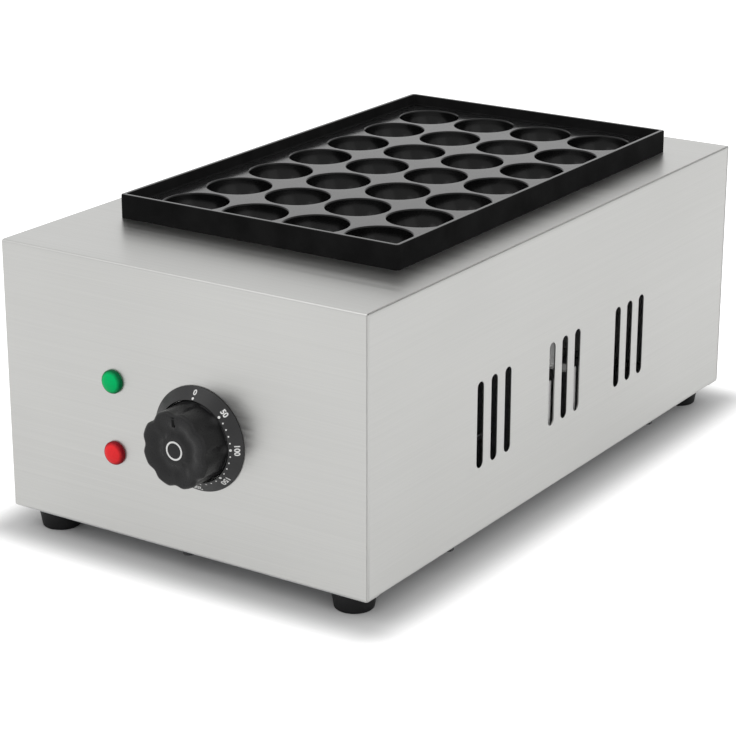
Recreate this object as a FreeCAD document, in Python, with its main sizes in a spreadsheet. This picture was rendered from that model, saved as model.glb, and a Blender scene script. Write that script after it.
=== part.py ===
import FreeCAD, Part
import math
import os
import re

import Sketcher

# Takoyaki maker: a stainless casing on four feet carries a cast mould pan of 28 cups, two
# tube heaters are clamped under the pan, and a thermostat with a round knob sits in the front.
# All sizes are millimetres. +Z is up, the front with the knob faces -Y, and the origin is under
# the middle of the whole machine, on the surface that it stands on.

DOC = FreeCAD.newDocument("takoyaki_maker")
Vector = FreeCAD.Vector

SIZES = {
    # casing of bent stainless sheet
    "casing_width": 245.0,
    "casing_depth": 420.0,
    "casing_height": 160.0,
    "gauge": 0.8,
    "bend_inside": 1.2,
    "panel_bend": 1.6,
    "lap_width": 12.0,
    "seam_step": 0.5,
    "flange_gap": 0.5,
    "fit_gap": 0.1,
    # vents in both side panels
    "vent_setback": 208.5,
    "vent_rise": 64.8,
    "vent_length": 51.0,
    "vent_width": 6.0,
    "vent_corner": 1.8,
    "vent_pitch": 15.0,
    "vent_group_pitch": 80.4,
    "vent_groups": 3,
    # base plate and feet
    "base_gauge": 1.0,
    "base_inset": 2.5,
    "base_vent_length": 60.0,
    "base_vent_width": 5.0,
    "base_vent_pitch": 18.0,
    "base_vent_count": 6,
    "base_screw_diameter": 4.0,
    "base_screw_head": 7.0,
    "base_screw_head_height": 2.0,
    "base_screw_length": 5.0,
    "base_screw_inset": 6.0,
    "base_screw_spread_y": 120.0,
    "foot_height": 13.0,
    "foot_top_diameter": 26.0,
    "foot_bottom_diameter": 22.0,
    "foot_inset_x": 20.0,
    "foot_inset_y": 17.5,
    "small_nut_flats": 8.0,
    "small_nut_height": 4.0,
    # cast mould pan
    "pan_width": 190.0,
    "pan_depth": 312.0,
    "pan_setback": 71.0,
    "pan_corner": 2.5,
    "rim_rise": 14.0,
    "rim_wall": 3.2,
    "deck_sink": 6.5,
    "cup_diameter": 38.0,
    "cup_pitch": 42.0,
    "cup_columns": 4,
    "cup_rows": 7,
    "cup_floor": 3.0,
    "block_margin": 5.0,
    "block_corner": 6.0,
    "cutout_clearance": 2.0,
    # tube heaters under the pan and the bars that press them up
    "tube_diameter": 8.0,
    "tube_nose": 12.0,
    "bend_clearance": 4.0,
    "fitting_flats": 15.0,
    "fitting_height": 6.0,
    "bolt_head_height": 3.5,
    "clamp_thickness": 2.0,
    "clamp_width": 18.0,
    "clamp_overhang": 10.0,
    "clamp_spread": 105.0,
    "stud_diameter": 5.0,
    "stud_embed": 8.0,
    "stud_spare": 2.0,
    "bead_diameter": 7.0,
    "bead_length": 5.0,
    "pin_diameter": 4.0,
    "pin_length": 14.0,
    # clips that hold the pan down in the casing
    "clip_gauge": 1.5,
    "clip_width": 16.0,
    "clip_arm": 11.0,
    "clip_drop": 15.5,
    "clip_screw_drop": 10.0,
    "clip_spread": 63.0,
    "clip_screw_diameter": 4.0,
    "clip_screw_head": 7.0,
    "clip_screw_head_height": 2.4,
    "clip_screw_length": 7.0,
    # sheet parts inside
    "divider_setback": 58.0,
    "divider_gauge": 1.0,
    "divider_side_gap": 1.0,
    "divider_foot": 14.0,
    "wire_slot_inset": 37.5,
    "wire_slot_rise": 16.0,
    "wire_slot_height": 12.0,
    "wire_slot_width": 18.0,
    "tray_gauge": 1.0,
    "tray_drop": 38.0,
    "tray_side_gap": 14.0,
    "tray_rear_gap": 12.0,
    "tray_wall": 12.0,
    "pad_thickness": 10.0,
    "pad_gap": 1.0,
    "stand_gauge": 1.0,
    "stand_width": 10.0,
    "stand_spread": 30.0,
    "stand_side_gap": 2.5,
    "stand_step": 14.0,
    "stand_step_rise": 64.0,
    "stand_foot": 12.0,
    # thermostat, dial and knob
    "dial_offset": 14.0,
    "dial_rise": 70.0,
    "bezel_diameter": 60.0,
    "bezel_thickness": 1.6,
    "bezel_bore": 12.0,
    "shaft_hole": 12.0,
    "knob_gap": 0.4,
    "knob_height": 21.0,
    "knob_skirt_diameter": 47.0,
    "knob_skirt_height": 3.0,
    "knob_top_diameter": 45.5,
    "knob_edge": 2.0,
    "knob_lobes": 8,
    "knob_scallop_diameter": 34.0,
    "knob_scallop_depth": 1.9,
    "shaft_diameter": 6.0,
    "shaft_flat": 1.5,
    "shaft_reach": 14.0,
    "shaft_bearing": 8.0,
    "shaft_gap": 0.05,
    "thermostat_width": 44.0,
    "thermostat_height": 34.0,
    "thermostat_depth": 30.0,
    "thermostat_corner": 3.0,
    "bracket_gauge": 1.2,
    "thermostat_screw_spread": 28.0,
    "thermostat_screw_diameter": 4.0,
    "thermostat_screw_head": 7.0,
    "thermostat_screw_head_height": 1.4,
    "tab_width": 6.3,
    "tab_gauge": 0.8,
    "tab_length": 8.0,
    "tab_spread": 24.0,
    "tab_rise": 6.0,
    "bulb_diameter": 3.8,
    "bulb_length": 125.0,
    "capillary_diameter": 1.6,
    # signal lamps
    "lamp_offset": 45.3,
    "lamp_rise_low": 49.0,
    "lamp_rise_high": 91.0,
    "lamp_lens_diameter": 13.6,
    "lamp_lens_height": 4.2,
    "lamp_lens_edge": 2.0,
    "lamp_barrel_diameter": 10.0,
    "lamp_barrel_length": 22.0,
    "lamp_nut_flats": 14.0,
    "lamp_nut_height": 3.0,
    # cable inlet in the rear panel
    "gland_inset": 42.5,
    "gland_rise": 32.0,
    "gland_thread_diameter": 16.0,
    "gland_thread_length": 9.0,
    "gland_flats": 22.0,
    "gland_hex_height": 5.0,
    "gland_cap_height": 16.0,
    "gland_cap_gap": 1.0,
    "gland_mouth": 9.0,
    "gland_nose": 5.0,
    "gland_nose_diameter": 16.0,
    "gland_neck_length": 9.0,
    "gland_nut_height": 4.0,
    "cable_diameter": 7.0,
    # terminal block and earth stud
    "block_inset": 48.5,
    "block_setback": 32.0,
    "terminal_width": 39.0,
    "terminal_depth": 20.0,
    "terminal_height": 16.0,
    "terminal_pitch": 12.0,
    "terminal_screw_spread": 10.0,
    "terminal_screw_head": 5.0,
    "terminal_screw_sink": 1.0,
    "terminal_well_depth": 5.0,
    "terminal_entry": 4.0,
    "terminal_entry_rise": 4.0,
    "earth_inset": 87.5,
}

PLACES = {
    "half_width": "casing_width / 2",
    "knob_reach": "bezel_thickness + knob_gap + knob_height",
    "gland_reach": "gland_hex_height + gland_cap_gap + gland_cap_height",
    "front_y": "(knob_reach - casing_depth - gland_reach) / 2",
    "rear_y": "front_y + casing_depth",
    "base_z": "foot_height",
    "top_z": "base_z + casing_height",
    "inside_top_z": "top_z - gauge",
    "bend_outside": "bend_inside + gauge",
    "pan_mid_y": "front_y + pan_setback + pan_depth / 2",
    "rim_z": "top_z + rim_rise",
    "deck_z": "rim_z - deck_sink",
    "block_half_x": "(cup_columns - 1) * cup_pitch / 2 + cup_diameter / 2 + block_margin",
    "block_half_y": "(cup_rows - 1) * cup_pitch / 2 + cup_diameter / 2 + block_margin",
    "tube_radius": "tube_diameter / 2",
    "tube_z": "deck_z - cup_diameter / 2 - cup_floor - tube_radius",
    "tube_near_x": "cup_pitch / 2",
    "tube_far_x": "cup_pitch * 3 / 2",
    "clamp_top_z": "tube_z - tube_radius",
    "clamp_low_z": "clamp_top_z - clamp_thickness",
    "bolt_x": "cup_pitch",
    "tube_bend_y": "pan_mid_y + block_half_y + bend_clearance",
    "divider_y": "front_y + divider_setback",
    "divider_rear_y": "divider_y + divider_gauge",
    "tube_end_y": "divider_y - tube_nose",
    "tray_z": "tube_z - tray_drop",
    "dial_x": "dial_offset",
    "dial_z": "base_z + dial_rise",
    "lamp_x": "-lamp_offset",
    "foot_x": "half_width - foot_inset_x",
    "foot_front_y": "front_y + foot_inset_y",
    "foot_rear_y": "rear_y - foot_inset_y",
    "plate_low_z": "base_z - base_gauge",
    "gland_x": "gland_inset - half_width",
    "block_x": "block_inset - half_width",
    "earth_x": "earth_inset - half_width",
    "wire_slot_x": "wire_slot_inset - half_width",
    "gland_z": "base_z + gland_rise",
    "bulb_z": "clamp_top_z + bulb_diameter / 2 + fit_gap",
    "bulb_end_y": "pan_mid_y + clamp_width / 2",
    "capillary_y": "front_y + gauge + bracket_gauge + thermostat_depth / 2",
    "base_screw_x": "half_width - base_screw_inset",
    "stand_x": "half_width - gauge - stand_side_gap",
    "vent_mid_y": "front_y + vent_setback",
}

WORD = re.compile(r"[a-z][a-z_0-9]*")


def bound(text):
    """Writes each name in a formula as the cell that holds it."""
    def cell(word):
        name = word.group()
        if name in SIZES:
            return "sizes." + name
        if name in PLACES:
            return "places." + name
        return name
    return WORD.sub(cell, text)


def fill_sheet(name, cells):
    """Makes a sheet with one aliased cell a row."""
    sheet = DOC.addObject("Spreadsheet::Sheet", name)
    for row, (alias, content) in enumerate(cells.items(), start=1):
        sheet.set(f"A{row}", alias)
        sheet.set(f"B{row}", content)
        sheet.setAlias(f"B{row}", alias)
    return sheet


sizes = fill_sheet("sizes", {alias: str(number) for alias, number in SIZES.items()})
DOC.recompute()
places = fill_sheet("places", {alias: "=" + re.sub(r"places\.", "", bound(formula))
                               for alias, formula in PLACES.items()})
DOC.recompute()


def value(text):
    """The number that a formula comes to."""
    result = places.evalExpression(bound(text))
    return float(getattr(result, "Value", result))


def put(piece, x="0", y="0", z="0"):
    """Ties a piece's place to the sheet."""
    for axis, text in zip("xyz", (x, y, z)):
        if text != "0":
            piece.setExpression(f"Placement.Base.{axis}", bound(text))
    return piece


# Sketches

PLANES = {"x": ("YZ_Plane", ""), "y": ("XZ_Plane", "-"), "z": ("XY_Plane", "")}


def polygon(*points):
    return "polygon", points


def rectangle(left, low, right, high):
    return polygon((left, low), (right, low), (right, high), (left, high))


def circle(across, up, radius):
    return "circle", (across, up, radius)


def many_sided(sides, flats, across="0", up="0"):
    """An even polygon with the given width over its flats, two of which lie flat."""
    reach = f"({flats}) / 2 / cos({180 / sides} deg)"
    corners = []
    for number in range(sides):
        turn = 360 * (number + 0.5) / sides
        corners.append((f"{across} + {reach} * cos({turn} deg)", f"{up} + {reach} * sin({turn} deg)"))
    return polygon(*corners)


def hexagon(flats, across="0", up="0"):
    return many_sided(6, flats, across, up)


def hole(diameter, across="0", up="0"):
    """A screw's hole, eight-sided as its shank is, which keeps the small parts light."""
    return many_sided(8, f"{diameter} + 2 * fit_gap", across, up)


def shank(diameter, across="0", up="0"):
    return many_sided(8, diameter, across, up)


def vent(across, low, high, width, corner):
    """An upright slot with its corners taken off."""
    left, right = f"{across} - ({width}) / 2", f"{across} + ({width}) / 2"
    return polygon(
        (left, f"{low} + {corner}"), (f"{left} + {corner}", low), (f"{right} - {corner}", low),
        (right, f"{low} + {corner}"), (right, f"{high} - {corner}"), (f"{right} - {corner}", high),
        (f"{left} + {corner}", high), (left, f"{high} - {corner}"))


def fix_point(sketch, edge, end, across, up):
    """Ties one point of a sketch to the sheet."""
    for kind, text in (("DistanceX", across), ("DistanceY", up)):
        number = sketch.addConstraint(Sketcher.Constraint(kind, -1, 1, edge, end, value(text)))
        sketch.setExpression(f"Constraints[{number}]", bound(text))


def fix_radius(sketch, edge, radius):
    number = sketch.addConstraint(Sketcher.Constraint("Radius", edge, value(radius)))
    sketch.setExpression(f"Constraints[{number}]", bound(radius))


def draw_polygon(sketch, points):
    corners = [Vector(value(across), value(up), 0) for across, up in points]
    first = sketch.GeometryCount
    count = len(corners)
    for index, corner in enumerate(corners):
        sketch.addGeometry(Part.LineSegment(corner, corners[(index + 1) % count]), False)
    for index in range(count):
        following = first + (index + 1) % count
        sketch.addConstraint(Sketcher.Constraint("Coincident", first + index, 2, following, 1))
    for index, (across, up) in enumerate(points):
        fix_point(sketch, first + index, 1, across, up)


def draw_circle(sketch, across, up, radius):
    centre = Vector(value(across), value(up), 0)
    edge = sketch.addGeometry(Part.Circle(centre, Vector(0, 0, 1), value(radius)), False)
    fix_point(sketch, edge, 3, across, up)
    fix_radius(sketch, edge, radius)


DRAW = {"polygon": lambda sketch, points: draw_polygon(sketch, points),
        "circle": lambda sketch, numbers: draw_circle(sketch, *numbers)}


def add_sketch(body, normal, at, outlines):
    """Puts a sketch across an axis of its body, at a height along that axis."""
    role, sign = PLANES[normal]
    sketch = body.newObject("Sketcher::SketchObject", body.Name + "_outline")
    plane = next(item for item in body.Origin.OriginFeatures if item.Role == role)
    sketch.AttachmentSupport = [(plane, "")]
    sketch.MapMode = "FlatFace"
    if at != "0":
        sketch.setExpression("AttachmentOffset.Base.z", bound(f"{sign}({at})"))
    for kind, numbers in outlines:
        DRAW[kind](sketch, numbers)
    return sketch


# Features

def add_body(name, x="0", y="0", z="0"):
    body = DOC.addObject("PartDesign::Body", name)
    body.Label = name
    return put(body, x, y, z)


def pad(body, normal, at, outlines, thickness, widening=None):
    """Adds material from a sketch towards the plus side of its axis, tapered if a widening is given."""
    feature = body.newObject("PartDesign::Pad", body.Name + "_pad")
    feature.Profile = add_sketch(body, normal, at, outlines)
    feature.Reversed = normal == "y"
    feature.setExpression("Length", bound(thickness))
    if widening:
        feature.setExpression("TaperAngle", bound(f"atan(({widening}) / ({thickness}))"))
    body.Tip = feature
    DOC.recompute()
    return feature


def cut(body, normal, at, outlines, reach):
    """Takes material away as far as reach on both sides of a sketch."""
    before = body.Shape.Volume
    feature = body.newObject("PartDesign::Pocket", body.Name + "_cut")
    feature.Profile = add_sketch(body, normal, at, outlines)
    feature.SideType = "Symmetric"
    feature.setExpression("Length", bound(f"2 * ({reach})"))
    body.Tip = feature
    DOC.recompute()
    if not body.Shape.Volume < before:
        raise ValueError(f"a cut in {body.Name} takes nothing away")
    return feature


def spin(body, normal, points, axis):
    """Turns a closed outline about an axis of its sketch."""
    feature = body.newObject("PartDesign::Revolution", body.Name + "_turn")
    sketch = add_sketch(body, normal, "0", [polygon(*points)])
    feature.Profile = sketch
    feature.ReferenceAxis = (sketch, [axis])
    feature.Angle = 360
    body.Tip = feature
    DOC.recompute()
    return feature


def repeat(body, feature, axis, pitch, count):
    """Repeats a feature in a row."""
    pattern = body.newObject("PartDesign::LinearPattern", body.Name + "_row")
    pattern.Originals = [feature]
    pattern.Direction = (feature.Profile[0], [axis])
    pattern.Mode = "Spacing"
    pattern.setExpression("Offset", bound(pitch))
    pattern.setExpression("Occurrences", bound(count))
    body.Tip = pattern
    DOC.recompute()
    return pattern


def lines_along(shape, axis, spots):
    """Names the straight edges along an axis that pass through the given spots across it."""
    others = [index for index in range(3) if index != "xyz".index(axis)]
    wanted = [(value(first), value(second)) for first, second in spots]
    found = []
    for number, edge in enumerate(shape.Edges, start=1):
        ends = [vertex.Point for vertex in edge.Vertexes]
        if len(ends) != 2 or edge.Curve.TypeId != "Part::GeomLine":
            continue
        near = all(abs(ends[0][index] - ends[1][index]) < 1e-6 for index in others)
        if near and any(abs(ends[0][others[0]] - first) < 1e-4 and abs(ends[0][others[1]] - second) < 1e-4
                        for first, second in wanted):
            found.append(f"Edge{number}")
    return found


def edges_in_plane(shape, axis, at):
    """Names the edges that lie wholly in a plane across an axis."""
    index, place = "xyz".index(axis), value(at)
    return [f"Edge{number}" for number, edge in enumerate(shape.Edges, start=1)
            if all(abs(vertex.Point[index] - place) < 1e-6 for vertex in edge.Vertexes)]


def smooth(body, names, radius, kind="Fillet"):
    """Rounds or chamfers the named edges of a body."""
    if not names:
        raise ValueError(f"no edge of {body.Name} to round")
    feature = body.newObject("PartDesign::" + kind, body.Name + "_edge")
    feature.Base = (feature.BaseFeature, names)
    feature.setExpression("Radius" if kind == "Fillet" else "Size", bound(radius))
    body.Tip = feature
    DOC.recompute()
    return feature


def copies(name, template, spots):
    """One node that holds the same piece at several places."""
    links = []
    for number, (x, y, z) in enumerate(spots, start=1):
        link = DOC.addObject("App::Link", f"{name}_{number}")
        link.LinkedObject = template
        links.append(put(link, x, y, z))
    group = DOC.addObject("Part::Compound", name)
    group.Label = name
    group.Links = links
    DOC.recompute()
    return group


def mirrored(name, source):
    """The same piece handed the other way, across the middle of the machine."""
    piece = DOC.addObject("Part::Mirroring", name)
    piece.Label = name
    piece.Source = source
    piece.Normal = Vector(1, 0, 0)
    DOC.recompute()
    return piece


def nut(name, normal, flats, thread, height):
    """A hexagon nut that starts at the middle of its own frame."""
    body = add_body(name)
    pad(body, normal, "0", [hexagon(flats), hole(thread)], height)
    return body


def screw(name, normal, head, head_height, thread, length):
    """A screw whose head lies on the minus side of its own frame's middle."""
    body = add_body(name)
    pad(body, normal, f"-({head_height})", [shank(head)], head_height)
    pad(body, normal, "0", [shank(thread)], length)
    return body


NODES = []


def keep(*pieces):
    """Lists pieces that are written out as nodes."""
    NODES.extend(pieces)
    return pieces[0]


# Casing

def base_screw_spots():
    """Screws through the base plate into the returns and the side flanges."""
    ends = [("0", y) for y in ("front_y + base_screw_inset", "rear_y - base_screw_inset")]
    sides = [(f"{sign}base_screw_x", y) for sign in ("-", "")
             for y in ("-base_screw_spread_y", "base_screw_spread_y")]
    return ends, sides


def casing_wrap():
    """Front, top and rear in one bent sheet, with returns under the front and rear."""
    body = add_body("casing_wrap")
    outline = polygon(
        ("front_y", "base_z"), ("front_y", "top_z"), ("rear_y", "top_z"), ("rear_y", "base_z"),
        ("rear_y - lap_width", "base_z"), ("rear_y - lap_width", "base_z + gauge"),
        ("rear_y - gauge", "base_z + gauge"), ("rear_y - gauge", "inside_top_z"),
        ("front_y + gauge", "inside_top_z"), ("front_y + gauge", "base_z + gauge"),
        ("front_y + lap_width", "base_z + gauge"), ("front_y + lap_width", "base_z"))
    pad(body, "x", "-half_width + seam_step", [outline], "casing_width - 2 * seam_step")
    outer = [(y, z) for y in ("front_y", "rear_y") for z in ("base_z", "top_z")]
    smooth(body, lines_along(body.Shape, "x", outer), "bend_outside")
    inner = [(y, z) for y in ("front_y + gauge", "rear_y - gauge")
             for z in ("base_z + gauge", "inside_top_z")]
    smooth(body, lines_along(body.Shape, "x", inner), "bend_inside")
    # the returns stop short of the side panels' flanges
    ends = [rectangle(left, "front_y + gauge", right, "rear_y - gauge") for left, right in (
        ("-half_width", "-half_width + lap_width + flange_gap"),
        ("half_width - lap_width - flange_gap", "half_width"))]
    cut(body, "z", "base_z", ends, "gauge + bend_inside + flange_gap")
    cut(body, "z", "top_z", [rectangle(
        "-block_half_x - cutout_clearance", "pan_mid_y - block_half_y - cutout_clearance",
        "block_half_x + cutout_clearance", "pan_mid_y + block_half_y + cutout_clearance")],
        "2 * gauge")
    cut(body, "y", "front_y", [
        hole("shaft_hole", "dial_x", "dial_z"),
        hole("thermostat_screw_diameter", "dial_x - thermostat_screw_spread / 2", "dial_z"),
        hole("thermostat_screw_diameter", "dial_x + thermostat_screw_spread / 2", "dial_z"),
        hole("lamp_barrel_diameter", "lamp_x", "base_z + lamp_rise_low"),
        hole("lamp_barrel_diameter", "lamp_x", "base_z + lamp_rise_high")], "2 * gauge")
    cut(body, "y", "rear_y", [hole("gland_thread_diameter", "gland_x", "gland_z")], "2 * gauge")
    cut(body, "z", "base_z", [hole("base_screw_diameter", x, y) for x, y in base_screw_spots()[0]],
        "2 * gauge")
    return keep(body)


def side_panels():
    """A flanged tray on each side, with three groups of upright vents."""
    body = add_body("side_panel_right")
    low_y, high_y, high_z = "front_y + gauge", "rear_y - gauge", "inside_top_z"
    pad(body, "x", "half_width - lap_width", [rectangle(low_y, "base_z", high_y, high_z)], "lap_width")
    cut(body, "x", "half_width - lap_width", [rectangle(
        f"{low_y} + gauge", "base_z + gauge", f"{high_y} - gauge", f"{high_z} - gauge")],
        "lap_width - gauge")
    smooth(body, edges_in_plane(body.Shape, "x", "half_width"), "panel_bend")
    group = [vent(f"vent_mid_y - vent_group_pitch * (vent_groups - 1) / 2 {shift}",
                  "base_z + vent_rise - vent_length / 2", "base_z + vent_rise + vent_length / 2",
                  "vent_width", "vent_corner") for shift in ("- vent_pitch", "", "+ vent_pitch")]
    repeat(body, cut(body, "x", "half_width", group, "2 * gauge"),
           "H_Axis", "vent_group_pitch", "vent_groups")
    cut(body, "z", "base_z", [hole("base_screw_diameter", x, y) for x, y in base_screw_spots()[1]
                              if not x.startswith("-")], "2 * gauge")
    return keep(body, mirrored("side_panel_left", body))


def foot_spots():
    return [(f"{sign}foot_x", y) for sign in ("-", "") for y in ("foot_front_y", "foot_rear_y")]


def base_parts():
    """Base plate with its vents, and the screws that hold it."""
    plate = add_body("base_plate")
    pad(plate, "z", "plate_low_z", [rectangle(
        "-half_width + base_inset", "front_y + base_inset",
        "half_width - base_inset", "rear_y - base_inset")], "base_gauge")
    spots = [spot for group in base_screw_spots() for spot in group]
    holes = [hole("base_screw_diameter", x, y) for x, y in spots]
    holes += [hole("stud_diameter", x, y) for x, y in foot_spots()]
    holes.append(hole("stud_diameter", "earth_x", "front_y + block_setback"))
    cut(plate, "z", "base_z", holes, "2 * base_gauge")
    row = cut(plate, "z", "base_z", [vent(
        "-base_vent_pitch * (base_vent_count - 1) / 2", "pan_mid_y - base_vent_length / 2",
        "pan_mid_y + base_vent_length / 2", "base_vent_width", "vent_corner")], "2 * base_gauge")
    repeat(plate, row, "H_Axis", "base_vent_pitch", "base_vent_count")
    fastener = screw("base_screw", "z", "base_screw_head", "base_screw_head_height",
                     "base_screw_diameter", "base_screw_length")
    keep(plate, copies("base_screws", fastener, [(x, y, "plate_low_z") for x, y in spots]))


def feet():
    """Four tapered rubber feet, each with a moulded stud and a nut on the base plate."""
    foot = add_body("foot")
    pad(foot, "z", "0", [many_sided(16, "foot_bottom_diameter")], "plate_low_z",
        "(foot_top_diameter - foot_bottom_diameter) / 2")
    stud = add_body("foot_stud")
    pad(stud, "z", "plate_low_z", [shank("stud_diameter")],
        "base_gauge + small_nut_height + stud_spare")
    ring = nut("foot_nut", "z", "small_nut_flats", "stud_diameter", "small_nut_height")
    spots = foot_spots()
    keep(copies("feet", foot, [(x, y, "0") for x, y in spots]),
         copies("foot_studs", stud, [(x, y, "0") for x, y in spots]),
         copies("foot_nuts", ring, [(x, y, "base_z") for x, y in spots]))


# Mould pan

CUP_SIDES = 16
CUP_RINGS = (0, 25, 50, 72)


def cup_cutter():
    """A round-bottomed cup of flat facets, which keeps 28 of them light."""
    radius = value("cup_diameter / 2")
    rings = []
    for angle in CUP_RINGS:
        ring_radius = radius * math.cos(math.radians(angle))
        depth = radius * math.sin(math.radians(angle))
        rings.append([Vector(ring_radius * math.cos(2 * math.pi * side / CUP_SIDES),
                             ring_radius * math.sin(2 * math.pi * side / CUP_SIDES), -depth)
                      for side in range(CUP_SIDES)])
    faces = [Part.Face(Part.makePolygon(rings[0] + rings[0][:1])),
             Part.Face(Part.makePolygon(rings[-1] + rings[-1][:1]))]
    for upper, lower in zip(rings, rings[1:]):
        for side in range(CUP_SIDES):
            after = (side + 1) % CUP_SIDES
            corners = [upper[side], upper[after], lower[after], lower[side], upper[side]]
            faces.append(Part.Face(Part.makePolygon(corners)))
    solid = Part.Solid(Part.makeShell(faces))
    if solid.Volume < 0:
        solid.reverse()
    return solid


def cup_centres():
    """The middles of the cups, in rows and columns about the middle of the pan."""
    columns, rows = int(value("cup_columns")), int(value("cup_rows"))
    pitch, mid_y = value("cup_pitch"), value("pan_mid_y")
    return [((column - (columns - 1) / 2) * pitch, mid_y + (row - (rows - 1) / 2) * pitch)
            for row in range(rows) for column in range(columns)]


def bolt_spots():
    return [(f"{sign}bolt_x", f"pan_mid_y{shift}") for sign in ("-", "")
            for shift in (" - clamp_spread", "", " + clamp_spread")]


def pan_casting():
    """The pan before its cups: a rimmed deck on a block that hangs through the casing's top."""
    body = add_body("pan_casting")
    left, right = "-pan_width / 2", "pan_width / 2"
    near, far = "pan_mid_y - pan_depth / 2", "pan_mid_y + pan_depth / 2"
    pad(body, "z", "top_z", [rectangle(left, near, right, far)], "rim_rise")
    smooth(body, lines_along(body.Shape, "z", [(x, y) for x in (left, right) for y in (near, far)]),
           "pan_corner")
    cut(body, "z", "rim_z", [rectangle(f"{left} + rim_wall", f"{near} + rim_wall",
                                       f"{right} - rim_wall", f"{far} - rim_wall")], "deck_sink")
    low, high = "pan_mid_y - block_half_y", "pan_mid_y + block_half_y"
    pad(body, "z", "tube_z", [rectangle("-block_half_x", low, "block_half_x", high)],
        "top_z - tube_z")
    smooth(body, lines_along(body.Shape, "z", [(x, y) for x in ("-block_half_x", "block_half_x")
                                               for y in (low, high)]), "block_corner", "Chamfer")
    cut(body, "y", "pan_mid_y", [hole("tube_diameter", x, "tube_z") for x in LEGS],
        "block_half_y + 1")
    cut(body, "z", "tube_z", [hole("stud_diameter", x, y) for x, y in bolt_spots()], "stud_embed")
    for side in ("-", ""):
        cut(body, "x", f"{side}block_half_x", [
            hole("clip_screw_diameter", f"pan_mid_y {shift} clip_spread",
                 "inside_top_z - clip_screw_drop") for shift in "-+"], "clip_screw_length")
    return body


def mould_pan():
    """The finished pan with its cups."""
    cutter = DOC.addObject("Part::Feature", "cups")
    cup = cup_cutter()
    cups = []
    for x, y in cup_centres():
        one = cup.copy()
        one.translate(Vector(x, y, value("deck_z")))
        cups.append(one)
    cutter.Shape = Part.makeCompound(cups)
    pan = DOC.addObject("Part::Cut", "mould_pan")
    pan.Label = "mould_pan"
    pan.Base = pan_casting()
    pan.Tool = cutter
    DOC.recompute()
    return keep(pan)


def pan_clips():
    """Angles screwed to the block that pull the pan down on the casing's top."""
    body = add_body("pan_clip")
    low, arm_low = "inside_top_z - clip_drop", "inside_top_z - clip_gauge"
    pad(body, "y", "pan_mid_y - clip_spread - clip_width / 2", [polygon(
        ("block_half_x", low), ("block_half_x + clip_gauge", low),
        ("block_half_x + clip_gauge", arm_low), ("block_half_x + clip_arm", arm_low),
        ("block_half_x + clip_arm", "inside_top_z"), ("block_half_x", "inside_top_z"))], "clip_width")
    cut(body, "x", "block_half_x", [hole("clip_screw_diameter", "pan_mid_y - clip_spread",
                                         "inside_top_z - clip_screw_drop")], "2 * clip_gauge")
    fastener = add_body("clip_screw")
    pad(fastener, "x", "-clip_screw_length + clip_gauge", [shank("clip_screw_diameter")],
        "clip_screw_length")
    pad(fastener, "x", "clip_gauge", [shank("clip_screw_head")], "clip_screw_head_height")
    clips = copies("pan_clips_right", body, [("0", "0", "0"), ("0", "2 * clip_spread", "0")])
    screws = copies("clip_screws_right", fastener, [
        ("block_half_x", f"pan_mid_y {shift} clip_spread", "inside_top_z - clip_screw_drop")
        for shift in "-+"])
    keep(clips, mirrored("pan_clips_left", clips), screws, mirrored("clip_screws_left", screws))


# Heaters

LEGS = ("-tube_far_x", "-tube_near_x", "tube_near_x", "tube_far_x")


def heating_elements():
    """A tube heater bent in a U on each side, with its legs in the grooves under the pan."""
    body = add_body("heating_element_right")
    path = add_sketch(body, "z", "tube_z", [])
    near_x, far_x = value("tube_near_x"), value("tube_far_x")
    start_y, bend_y = value("tube_end_y"), value("tube_bend_y")
    middle = Vector((near_x + far_x) / 2, bend_y, 0)
    out = path.addGeometry(Part.LineSegment(Vector(near_x, start_y, 0), Vector(near_x, bend_y, 0)), False)
    bend = path.addGeometry(Part.ArcOfCircle(
        Part.Circle(middle, Vector(0, 0, 1), (far_x - near_x) / 2), 0, math.pi), False)
    back = path.addGeometry(Part.LineSegment(Vector(far_x, bend_y, 0), Vector(far_x, start_y, 0)), False)
    path.addConstraint(Sketcher.Constraint("Tangent", out, 2, bend, 2))
    path.addConstraint(Sketcher.Constraint("Tangent", bend, 1, back, 1))
    fix_point(path, out, 1, "tube_near_x", "tube_end_y")
    fix_point(path, back, 2, "tube_far_x", "tube_end_y")
    fix_point(path, bend, 3, "(tube_near_x + tube_far_x) / 2", "tube_bend_y")
    section = add_sketch(body, "y", "tube_end_y", [
        shank("tube_diameter", "tube_near_x", "tube_z")])
    tube = body.newObject("PartDesign::AdditivePipe", "tube")
    tube.Profile = section
    tube.Spine = (path, [])
    body.Tip = tube
    DOC.recompute()
    keep(body, mirrored("heating_element_left", body))


def element_ends():
    """The fittings that seat the heater ends on the divider, and their insulated pins."""
    fitting = add_body("element_fitting")
    pad(fitting, "y", "divider_gauge", [hexagon("fitting_flats"), hole("tube_diameter")],
        "fitting_height")
    bead = add_body("end_bead")
    pad(bead, "y", "-bead_length", [shank("bead_diameter"), hole("pin_diameter")], "bead_length")
    pin = add_body("end_pin")
    pad(pin, "y", "-pin_length", [shank("pin_diameter")], "pin_length")
    keep(copies("element_fittings", fitting, [(x, "divider_y", "tube_z") for x in LEGS]),
         copies("element_insulators", bead, [(x, "tube_end_y", "tube_z") for x in LEGS]),
         copies("element_pins", pin, [(x, "tube_end_y", "tube_z") for x in LEGS]))


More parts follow.
